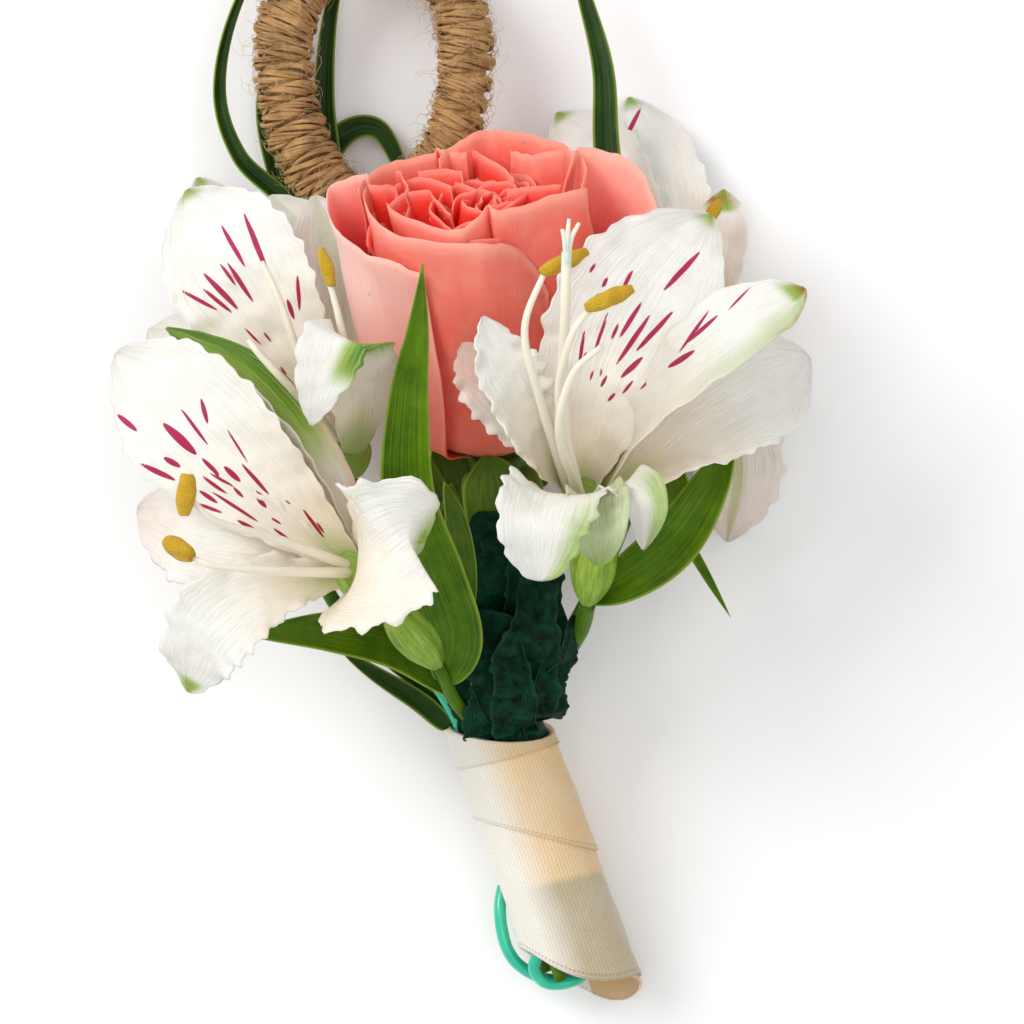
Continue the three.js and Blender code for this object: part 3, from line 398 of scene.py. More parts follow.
for ring, whorl in enumerate(WHORLS):
    rest = {key: value for key, value in whorl.items() if key not in ("count", "turn")}
    rose_petals += [whorl_petal(whorl["turn"] + 360 * k / whorl["count"], seed=1.7 * ring + 2.3 * k, **rest)
                    for k in range(whorl["count"])]


def new_group(name, inputs, outputs):
    """An empty shader node group with those sockets. Returns its tree, its inputs and its output node."""
    tree = bpy.data.node_groups.new(name, "ShaderNodeTree")
    for label in inputs:
        tree.interface.new_socket(label, in_out="INPUT", socket_type="NodeSocketFloat")
    for label in outputs:
        tree.interface.new_socket(label, in_out="OUTPUT", socket_type="NodeSocketFloat")
    return tree, tree.nodes.new("NodeGroupInput").outputs, tree.nodes.new("NodeGroupOutput")


def mark(tree, name):
    """The socket that reads one of the mesh's values per point."""
    return add(tree, "Attribute", attribute_name=name).outputs["Fac"]


def sum_of(tree, operation, first, second=0.0, clamp=False):
    """The result of one operation on two sockets or values."""
    made = add(tree, "Math", {0: first, 1: second}, operation=operation)
    made.use_clamp = clamp
    return made.outputs[0]


def times(tree, first, second, clamp=False):
    """The product of two sockets or values."""
    return sum_of(tree, "MULTIPLY", first, second, clamp)


def plus(tree, first, second):
    """The sum of two sockets or values."""
    return sum_of(tree, "ADD", first, second)


def from_to(tree, value, low, high):
    """A value stretched so that low becomes 0 and high becomes 1, and held between them."""
    made = add(tree, "MapRange", {"Value": value, "From Min": low, "From Max": high})
    made.clamp = True
    return made.outputs["Result"]


def mix_colours(tree, share, first, second):
    """One colour blended into another by a share."""
    made = tree.nodes.new("ShaderNodeMix")
    made.data_type = "RGBA"
    for socket, value in ((made.inputs["Factor"], share), (made.inputs[6], first), (made.inputs[7], second)):
        if isinstance(value, bpy.types.NodeSocket):
            tree.links.new(value, socket)
        else:
            socket.default_value = value
    return made.outputs[2]


def noise(tree, scale, detail=2.0, roughness=0.5):
    """Even noise in a piece's own space, whose waves are about 1 / scale metres long."""
    place = add(tree, "TexCoord").outputs["Object"]
    inputs = {"Vector": place, "Scale": scale, "Detail": detail, "Roughness": roughness}
    return add(tree, "TexNoise", inputs).outputs["Fac"]


def drawn_noise(tree, across, across_count, along, along_count, roughness):
    """Noise that is drawn out into lines: so many waves across a piece and so many along it."""
    x, y = times(tree, across, across_count), times(tree, along, along_count)
    place = add(tree, "CombineXYZ", {"X": x, "Y": y}).outputs[0]
    inputs = {"Vector": place, "Scale": 1.0, "Detail": 4.0, "Roughness": roughness}
    return add(tree, "TexNoise", inputs).outputs["Fac"]


def dress(tree, shader, colour, relief, strength, distance, roughness=None):
    """Links a colour, the bump of a relief and, where it varies, a roughness into the shader."""
    tree.links.new(colour, shader.inputs["Base Color"])
    bump = add(tree, "Bump", {"Strength": strength, "Distance": distance, "Height": relief})
    tree.links.new(bump.outputs[0], shader.inputs["Normal"])
    if roughness:
        tree.links.new(roughness, shader.inputs["Roughness"])


# Veins that run from a blade's foot to its tip: noise that is drawn out along the blade and fine across it,
# with blotches the same way up and down.
veins, veins_in, veins_out = new_group("veins", ["Along", "Across", "Count"], ["Lines", "Blotches"])
lines = drawn_noise(veins, veins_in["Across"], veins_in["Count"], veins_in["Along"], 2.6, 0.62)
veins.links.new(lines, veins_out.inputs["Lines"])
veins.links.new(noise(veins, 160.0, 4.0, 0.6), veins_out.inputs["Blotches"])


def use_veins(tree, count):
    """The vein group in a material, fed with the mesh's own directions. Returns its lines and blotches."""
    made = tree.nodes.new("ShaderNodeGroup")
    made.node_tree = veins
    tree.links.new(mark(tree, "along"), made.inputs["Along"])
    tree.links.new(mark(tree, "across"), made.inputs["Across"])
    made.inputs["Count"].default_value = count
    return made.outputs["Lines"], made.outputs["Blotches"]


CORAL = (0.93, 0.13, 0.085, 1)
CORAL_PALE = (0.96, 0.27, 0.20, 1)
CORAL_FADED_HIGHLIGHT = (1.0, 0.78, 0.71, 1)
CORAL_DEEP_AND_SHADE = (0.94, 0.016, 0.008, 1)
CORAL_RIM_HIGHLIGHT = (1.0, 0.50, 0.40, 1)
CORAL_FOOT_TINT_AND_SHADE = (0.50, 0.20, 0.06, 1)
petal_finish, tree, shader = new_finish(
    "rose_petal", Roughness=0.55, Specular_IOR_Level=0.22, Subsurface_Weight=0.3, Subsurface_Scale=0.002,
    Subsurface_Radius=(1.0, 0.3, 0.2))
lines, blotches = use_veins(tree, 16)
paler = plus(tree, from_to(tree, mark(tree, "along"), 0.7, 1.4), from_to(tree, blotches, 0.45, 0.85))
colour = mix_colours(tree, times(tree, paler, 0.8), CORAL, CORAL_PALE)
# Towards the foot the inner faces, and both faces of the heart's petals, take a deeper coral: the petals' own
# deeper colour with painted shade in the cup and the heart. The same deep coral also marks the veins.
within = sum_of(tree, "SUBTRACT", 1.0, mark(tree, "side"))
within = times(tree, within, from_to(tree, mark(tree, "along"), 1.15, 0.7))
within = times(tree, within, mark(tree, "inside"))
shaded = times(tree, mark(tree, "inner"), from_to(tree, mark(tree, "along"), 1.45, 0.7))
deep = sum_of(tree, "MAXIMUM", within, shaded)
# The pale mark whitens a petal's upper part: a faded tone with a painted highlight.
colour = mix_colours(tree, times(tree, mark(tree, "pale"), 0.9), colour, CORAL_FADED_HIGHLIGHT)
colour = mix_colours(tree, deep, colour, CORAL_DEEP_AND_SHADE)
colour = mix_colours(tree, times(tree, from_to(tree, lines, 0.5, 0.8), 0.18), colour, CORAL_DEEP_AND_SHADE)
# Painted highlight: a paler coral along each petal's rim.
colour = mix_colours(tree, times(tree, mark(tree, "edge"), 0.45), colour, CORAL_RIM_HIGHLIGHT)
# Darker and browner towards the petals' foot: painted shade low in the bloom, with some of the foot's own
# yellowish-green tint.
colour = mix_colours(tree, from_to(tree, mark(tree, "along"), 0.34, -0.1), colour, CORAL_FOOT_TINT_AND_SHADE)
dress(tree, shader, colour, plus(tree, lines, blotches), 0.5, 0.0004,
      roughness=plus(tree, times(tree, blotches, 0.25), 0.42))
make_piece("rose_petals", joined(rose_petals), petal_finish, ["rose_bloom"])

# ------------------------------------------------------------------------------------------------------------
# Water drops: small clear beads that stand on the rose's petals, most of them near a rim. Each is sunk a
# little into the surface that it wets.
DROPS = 80
DROP_SIZES = (0.14, 0.36)  # radii in millimetres
DROP_RINGS, DROP_SIDES = 4, 8
WET_PETALS = [0, 1, 2, 3, 4, 5, 6, 7, 11]
drop_draw = np.random.default_rng(11)
drop_turn, drop_lean = np.meshgrid(np.linspace(0, 2 * np.pi, DROP_SIDES + 1)[:-1],
                                   np.linspace(0, np.pi, DROP_RINGS + 2)[1:-1])
ball_out = np.sin(drop_lean)
ball = np.stack([ball_out * np.cos(drop_turn), ball_out * np.sin(drop_turn), np.cos(drop_lean)], -1)
ball_index = np.arange(DROP_RINGS * DROP_SIDES).reshape(DROP_RINGS, DROP_SIDES)
ball_around = np.concatenate([ball_index, ball_index[:, :1]], axis=1)
top, bottom = (np.full(DROP_SIDES, ball_index.size + k) for k in (0, 1))
ball_faces = [quads_of(ball_around)[:, ::-1],
              np.stack([top, ball_around[0, :-1], ball_around[0, 1:]], axis=1),
              np.stack([bottom, ball_around[-1, 1:], ball_around[-1, :-1]], axis=1)]
ball_points = np.concatenate([ball.reshape(-1, 3), [[0, 0, 1], [0, 0, -1]]])
drops = []
for k in range(DROPS):
    petal = rose_petals[int(drop_draw.choice(WET_PETALS))]
    half_count = len(petal["points"]) // 2
    spot = int(half_count * drop_draw.uniform(0.72, 0.97))
    upper, under = petal["points"][spot], petal["points"][spot + half_count]
    facing = unit(upper - under)
    if facing[2] < 0:
        upper, facing = under, -facing
    size = drop_draw.uniform(*DROP_SIZES)
    drops.append({"points": upper + size * (ball_points + 0.35 * facing), "faces": ball_faces, "marks": {}})
WATER_HAZY = (0.97, 0.98, 1.0, 1)
WATER_CLEAR = (1, 1, 1, 1)
water, tree, shader = new_finish("water", Roughness=0.03, IOR=1.33, Transmission_Weight=0.9)
haze = noise(tree, 900.0)
dress(tree, shader, mix_colours(tree, haze, WATER_HAZY, WATER_CLEAR), haze, 0.05, 0.00005,
      roughness=times(tree, haze, 0.06))
make_piece("water_drops", joined(drops), water, ["rose_bloom"])

# ------------------------------------------------------------------------------------------------------------
# The rose's stem: a green stalk that runs from the handle to the bloom, with a swollen cup and four sepals
# under it. Three broad leaves stand behind it, one lies along it and two small ones stand before it, all
# grown as one piece. The stems enter the handle side by side, each at its own place in the handle's section.
HANDLE_FOOT = np.array([1.3, -4.4, 9.2])
HANDLE_TOP = np.array([-15, 42.5, 21])
STEM_FOOT, MOUTH = 6.5, 57
IN_SECTION = {"rose": (-0.2, 0.3, 2.4), "c": (4.6, 2, 1.5), "d": (4.8, -1.8, 1.4), "b": (-4.2, 5.1, 1.2),
              "a": (-6.2, -1.6, 1.3), "grass_left": (-4.4, -5, 1.1), "grass_right": (0.8, -7.15, 0.7)}
handle_along = unit(HANDLE_TOP - HANDLE_FOOT)
handle_right = unit(np.cross(handle_along, [0, 0, 1]))
handle_up = np.cross(handle_right, handle_along)


def in_handle(along, right, up):
    """A point so far along the handle's axis, to the right of it and above it."""
    along, right, up = (np.asarray(value, float)[..., None] for value in (along, right, up))
    return HANDLE_FOOT + along * handle_along + right * handle_right + up * handle_up


def tube(centres, radii, sides, side=None):
    """A closed round tube along centre points, with a radius at each and a flat cap on each end."""
    along = unit(np.gradient(centres, axis=0))
    if side is None:
        side = np.empty_like(along)
        carried = np.array([0.31, 0.13, 0.94])
        for k, direction in enumerate(along):
            carried = unit(carried - (carried @ direction) * direction)
            side[k] = carried
    side = unit(side - np.sum(side * along, axis=1, keepdims=True) * along)
    other = np.cross(along, side)
    turn = np.linspace(0, 2 * np.pi, sides, endpoint=False)
    radii = np.broadcast_to(radii, len(centres))[:, None, None]
    out = np.cos(turn)[None, :, None] * side[:, None] + np.sin(turn)[None, :, None] * other[:, None]
    rings = centres[:, None] + radii * out
    count = len(centres) * sides
    index = np.arange(count).reshape(len(centres), sides)
    around = np.concatenate([index, index[:, :1]], axis=1)
    first, last = np.full(sides, count), np.full(sides, count + 1)
    start = np.stack([first, around[0, 1:], around[0, :-1]], axis=1)
    end = np.stack([last, around[-1, :-1], around[-1, 1:]], axis=1)
    points = np.concatenate([rings.reshape(-1, 3), centres[:1], centres[-1:]])
    share = np.linspace(0, 1, len(centres))
    along_mark = np.concatenate([np.repeat(share, sides), [0, 1]])
    across_mark = np.concatenate([np.tile(np.sin(turn), len(centres)), [0, 0]])
    return {"points": points, "faces": [quads_of(around), start, end],
            "marks": {"along": along_mark, "across": across_mark}}


def stalk(points, radii, sides, steps):
    """A tube along the smooth curve through a few points, its radius read evenly along a list."""
    share = np.linspace(0, 1, steps)
    return tube(smooth(points, share), np.interp(share, np.linspace(0, 1, len(radii)), radii), sides)


def up_handle(right, up, shares):
    """Points straight up the handle at one place in its section, at shares of the way to its mouth."""
    return [in_handle(STEM_FOOT + (MOUTH - STEM_FOOT) * share, right, up) for share in shares]


def stem(section, route, radii=(1, 1)):
    """A stalk that runs straight up the handle at its own place in the section, then along its own route."""
    right, up, radius = IN_SECTION[section]
    return stalk([*up_handle(right, up, (0, 0.45, 0.9, 1)), *route], np.array(radii) * radius, sides=12,
                 steps=110)


def egg(start, end, radius, sides=20, steps=22, ribs=0, rib_depth=0.0, blunt=0.62):
    """An egg-shaped solid between two points, with ribs along it whose depth is a share of its radius.

    Its radius follows the sine of the way along it to the power blunt, so a small power gives blunt ends.
    """
    share = np.linspace(0, 1, steps)
    axis = np.array(start) + share[:, None] * (np.array(end) - np.array(start))
    shape = tube(axis, radius * np.sin(np.pi * (0.04 + 0.92 * share)) ** blunt, sides)
    rings = shape["points"][:steps * sides].reshape(steps, sides, 3)
    swell = 1 + rib_depth * np.cos(ribs * np.linspace(0, 2 * np.pi, sides, endpoint=False))[None, :, None]
    shape["points"][:steps * sides] = (axis[:, None] + (rings - axis[:, None]) * swell).reshape(-1, 3)
    return shape


def lathe(outline):
    """A round solid on the rose's axis from its outline of radii and heights."""
    outline = smooth(outline, np.linspace(0, 1, 6 * len(outline)))
    centres = in_rose(np.zeros(len(outline)), 0.0, outline[:, 1])
    return tube(centres, outline[:, 0], sides=40, side=np.broadcast_to(rose_right, (len(outline), 3)))


def read_along(values, share):
    """A value, or a direction, read in straight steps from a short list that is spread evenly from 0 to 1."""
    values = np.asarray(values, float)
    even = np.linspace(0, 1, len(values))
    if values.ndim == 1:
        return np.interp(share, even, values)
    return np.stack([np.interp(share, even, values[:, axis]) for axis in range(values.shape[1])], axis=-1)


def blade(rib, facing, width, sides=(1, 1), full=1.5, tip=0.7, claw=0.2, cup=(0.3, 0.3), ruffle=0.0, waves=3,
          thickness=PETAL_THICKNESS, frill=0.0, notch=0.0, fold=0.0, pucker=0.0, seed=0.0, grid=(52, 20),
          marks=None):
    """A petal or leaf blade as a shell.

    It follows its rib and faces the given directions. Its half width is claw (1 - u)^2 + sin(pi u^full)^tip,
    so it is narrow at the claw and rounded at the tip. Across, it is an arc of cup radians each side, and its
    edges ruffle. frill adds short waves to the margin, notch scallops its outline, fold creases it along its
    midrib, and pucker dimples it. marks adds values per point, each from a rule on u, v and the surface's
    points.
    """
    u, v = uv_grid(*grid)
    centre = smooth(rib, u)
    along = unit(smooth(rib, np.minimum(u + 1e-3, 1)) - smooth(rib, np.maximum(u - 1e-3, 0)))
    across = unit(np.cross(along, read_along(facing, u)))
    normal = np.cross(across, along)
    shape = claw * (1 - u) ** 2 + np.maximum(np.sin(np.pi * u**full), 0) ** tip
    half = width * np.maximum(shape, 0.05) * np.where(v < 0, sides[0], sides[1])
    near_edge = np.abs(v) ** 5
    half = half * (1 + notch * near_edge * (np.sin(61 * u + 5 * v + seed) + 0.6 * np.sin(113 * u + 2 * seed)))
    bend = read_along(cup, u)
    offbeat = np.where(v < 0, 2.0, 0.0)
    wave = ruffle * half * v * v * np.sin(2 * np.pi * waves * u + offbeat)
    margin = fade(0.45, 1.0, np.abs(v)) * np.sin(np.pi * np.minimum(u, 1)) ** 0.5
    wave += frill * margin * (np.sin(34 * u + offbeat + seed) + 0.6 * np.sin(57 * u + 1.3 * seed + offbeat))
    wave += fold * half * np.abs(v)
    surface = centre + across * (half * np.sin(v * bend) / bend)[..., None]
    surface = surface + normal * (half * (1 - np.cos(v * bend)) / bend + wave)[..., None]
    dimples = ripple(surface, 8, int(17 + 10 * seed)) + 0.5 * ripple(surface, 3.4, int(18 + 10 * seed))
    surface = surface + normal * (pucker * fade(0.1, 0.35, u) * dimples)[..., None]
    edge = np.maximum(fade(0.9, 1.0, np.abs(v)), fade(0.965, 1.0, u))
    values = {"along": u, "across": v, "edge": edge}
    values.update({name: rule(u, v, surface) for name, rule in (marks or {}).items()})
    return shell(surface, thickness * (1 - 0.5 * edge), values)


def sepal(turn, length, out):
    """One small green sepal that stands out from under the bloom and hangs down along the stem."""
    angle = math.radians(turn)
    rib = [in_rose(radius, angle, height) for radius, height in
           ((4, -2), (6.5, -3.2), (6.5 + out, -4 - length * 0.5), (6 + out, -4 - length))]
    outward = in_rose(1, angle, 0) - in_rose(0, angle, 0)
    return blade(rib, [rose_along, outward, outward], 3, full=0.9, cup=(0.3, 0.2), grid=(30, 12))


STALK_LIGHT = (0.14, 0.23, 0.02, 1)
STALK_DARK = (0.03, 0.09, 0.006, 1)
LEAF_MARGIN = (0.33, 0.47, 0.05, 1)


def leaf_material(name, light, dark, vein_count, roughness=0.42):
    """A waxy leaf: two greens that follow the veins and the blotches, a paler margin and raised veins."""
    finish, tree, shader = new_finish(
        name, Roughness=roughness, Specular_IOR_Level=0.16, Subsurface_Weight=0.06, Subsurface_Scale=0.002)
    lines, blotches = use_veins(tree, vein_count)
    share = plus(tree, times(tree, lines, 1.2), times(tree, blotches, 0.8))
    colour = mix_colours(tree, from_to(tree, share, 0.7, 1.35), dark, light)
    colour = mix_colours(tree, times(tree, mark(tree, "edge"), 0.6), colour, LEAF_MARGIN)
    dress(tree, shader, colour, lines, 0.5, 0.0004)
    return finish


stem_finish = leaf_material("rose_stem", STALK_LIGHT, STALK_DARK, 9, 0.45)
UP = (0, 0, 1)
rose_stem_parts = [
    stem("rose", [[-17.5, 60, 24], [-17, 74, 24], in_rose(0, 0, -5)]),
    lathe([[2.2, -7], [4.2, -5], [5.2, -2.6], [4.8, -0.2], [3, 0.1]]),
    *(sepal(turn, 5 + (k % 3) * 2, 1 + (k % 2)) for k, turn in enumerate((20, 140, 235, 305))),
    blade([[-19, 62, 25], [-22, 71, 27], [-23, 79, 28], [-23.5, 86, 28]], [UP], 3, full=0.9, claw=0.3),
    *(blade([[-19, 57, 22], [-20 - side, 72, 23], [-22 - 2 * side, 86, 23], [-24 - 3 * side, 98, 22]],
            [UP], 4.4, full=0.9, claw=0.3, cup=(0.5, 0.2), seed=3 + side) for side in (-2.5, 0.6, 3.4)),
    blade([[-17, 76, 29], [-16.5, 82, 33.5], [-16.6, 87, 35], [-17.6, 90.5, 35]],
          [[0.1, -0.4, 1], [0, -0.3, 1]], 4.8, full=1.1, claw=0.4, cup=(0.7, 0.5)),
    blade([[-21.5, 60, 33], [-21.4, 70, 40], [-22.4, 79, 43], [-24.3, 86, 45]],
          [[0.3, -0.4, 1], [0.4, -0.3, 1]], 2.4, full=0.8, cup=(0.6, 0.4)),
]
make_piece("rose_stalk", joined(rose_stem_parts), stem_finish, ["rose_stem"])

# ------------------------------------------------------------------------------------------------------------
# The white lilies: soft waxy tepals, cream-white with fine veins, green at the throat and at the pointed
# tips, the inner ones with magenta dashes. The tepals of each grow from one small throat. The lowest one of
# the right-hand lily is folded over in three lobes, each a blade of its own.
TEPAL_WHITE = (0.90, 0.89, 0.83, 1)
TEPAL_VEIN = (0.62, 0.62, 0.48, 1)
TEPAL_CREAM_AND_SHADE = (0.85, 0.68, 0.46, 1)
TEPAL_GREEN = (0.27, 0.42, 0.03, 1)
TEPAL_LEAFY = (0.045, 0.16, 0.004, 1)
TEPAL_BLUSH = (0.84, 0.52, 0.42, 1)
TEPAL_RUST = (0.36, 0.17, 0.01, 1)
DASH_DEEP = (0.30, 0.001, 0.035, 1)
DASH_PINK = (0.52, 0.02, 0.13, 1)
DASH_REACH = 4.0  # pixels to each side of a dash's outline over which its value changes


def view_place(points):
    """Where points in millimetres lie in the view, in pixels across and down from its corner."""
    depth = (1000 * CAMERA_AT[2] - points[..., 2]) / (1000 * FACES_BELOW)
    middle = np.array([1000 * CAMERA_AT[0] + REST_SPOT[0], 1000 * CAMERA_AT[1] + REST_SPOT[1]])
    step = 1000 * METRES_PER_PIXEL * depth
    across, up = ((points[..., axis] - middle[axis]) / step for axis in (0, 1))
    return IMAGE_PIXELS / 2 + across, IMAGE_PIXELS / 2 - up


def dashes(*marks):
    """A rule that paints spindle-shaped dashes, each given by its start and end as seen and its full width.

    The value is over a half inside a dash and under a half outside. It changes by an eighth for each pixel
    between the point and the dash's outline, whose half width narrows to both ends as the sine of the way
    along it.
    """
    def rule(u, v, surface):
        """The value of the dashes at each point."""
        x, y = view_place(surface)
        inside = np.full_like(x, -DASH_REACH)
        for x0, y0, x1, y1, width in marks:
            length = math.hypot(x1 - x0, y1 - y0)
            share = ((x - x0) * (x1 - x0) + (y - y0) * (y1 - y0)) / length**2
            off = np.abs((x - x0) * (y1 - y0) - (y - y0) * (x1 - x0)) / length
            half = 0.56 * width * np.sin(np.pi * np.clip(0.06 + 0.88 * share, 0, 1)) ** 0.6
            to_end = length * (np.minimum(share, 1 - share) + 0.06)
            inside = np.maximum(inside, np.minimum(half - off, to_end))
        return 0.5 + np.clip(inside, -DASH_REACH, DASH_REACH) / (2 * DASH_REACH)
    return rule


def tip_green(start):
    """A rule for the green point of a tepal: from start to the tip, on the middle of it."""
    return lambda u, v, surface: fade(start, min(start + 0.05, 0.995), u) * (1 - fade(0.3, 1.0, np.abs(v)))


def base_green(end, strength):
    """A rule for the green of a tepal's foot, which runs up along its middle."""
    return lambda u, v, surface: strength * (1 - fade(0.35 * end, end, u + 0.12 * np.abs(v)))


def rising(strength, low, high, side=0, inner=0.0, outer=1.0):
    """A rule that rises to its strength between two shares of the way along a tepal.

    Where a side is given, 1 or -1, it also rises towards that margin, between the shares inner and outer.
    """
    return lambda u, v, surface: strength * fade(low, high, u) * (fade(inner, outer, side * v) if side else 1)


def green_of(*rules):
    """The strongest of several rules at each point."""
    return lambda u, v, surface: np.max([rule(u, v, surface) for rule in rules], axis=0)


def midrib_green(width, strength, start):
    """A rule for green along a tepal's midrib, which fades to nothing at start."""
    return lambda u, v, surface: strength * fade(start, start + 0.3, u) * (
        1 - fade(0.2 * width, width, np.abs(v)))


def left_patch(start, full, fading, end, inner, outer):
    """A rule for a patch on a tepal's left half, which rises and falls along it and rises to its margin."""
    return lambda u, v, surface: fade(start, full, u) * (1 - fade(fading, end, u)) * fade(inner, outer, -v)


def leafy_half(u, v, surface):
    """The rule for the dark green outer half of a folded tepal, paler along its midrib."""
    return fade(0.4, 0.62, u) * (0.35 + 0.65 * fade(0.2, 0.8, np.abs(v + 0.1)))


def margin_blush(u, v, surface):
    """The rule for pink along both margins of a tepal's lower half."""
    return 0.7 * fade(0.6, 0.95, np.abs(v)) * (1 - fade(0.3, 0.6, u))


def rust_corner(u, v, surface):
    """The rule for rust on a tepal's tip and along its right margin near the tip."""
    return rising(0.8, 0.6, 0.95, 1, 0.8, 0.97)(u, v, surface) + tip_green(0.95)(u, v, surface)


tepal_finish, tree, shader = new_finish(
    "tepal", Roughness=0.5, Specular_IOR_Level=0.35, Subsurface_Weight=0.2, Subsurface_Scale=0.002,
    Subsurface_Radius=(1.0, 0.95, 0.7))
lines, blotches = use_veins(tree, 26)
vein_share = times(tree, sum_of(tree, "SUBTRACT", lines, 0.5), 2.4, clamp=True)
colour = mix_colours(tree, times(tree, vein_share, 0.55), TEPAL_WHITE, TEPAL_VEIN)
# Warm cream in soft patches and towards the throat: the tepals' own cream, with painted shade deep in the
# bloom towards the throat.
creamy_and_shade = plus(tree, times(tree, from_to(tree, blotches, 0.48, 0.75), 0.25),
              times(tree, from_to(tree, mark(tree, "along"), 0.62, 0.05), 0.75))
colour = mix_colours(tree, creamy_and_shade, colour, TEPAL_CREAM_AND_SHADE)
green_share = times(tree, mark(tree, "green"), plus(tree, lines, 0.45), clamp=True)
colour = mix_colours(tree, green_share, colour, TEPAL_GREEN)
leafy_share = times(tree, mark(tree, "leafy"), from_to(tree, lines, 0.25, 0.6))
colour = mix_colours(tree, leafy_share, colour, TEPAL_LEAFY)
rust_share = times(tree, mark(tree, "rust"), from_to(tree, blotches, 0.3, 0.6))
colour = mix_colours(tree, rust_share, colour, TEPAL_RUST)
blush_share = times(tree, mark(tree, "blush"), plus(tree, blotches, 0.5), clamp=True)
colour = mix_colours(tree, blush_share, colour, TEPAL_BLUSH)
inside_dash = from_to(tree, mark(tree, "dash"), 0.44, 0.54)
dash_share = times(tree, inside_dash, plus(tree, lines, 0.8), clamp=True)
dash_colour = mix_colours(tree, times(tree, mark(tree, "along"), 0.8), DASH_DEEP, DASH_PINK)
colour = mix_colours(tree, dash_share, colour, dash_colour)
relief = plus(tree, lines, times(tree, blotches, 0.6))
dress(tree, shader, colour, relief, 0.75, 0.0005)

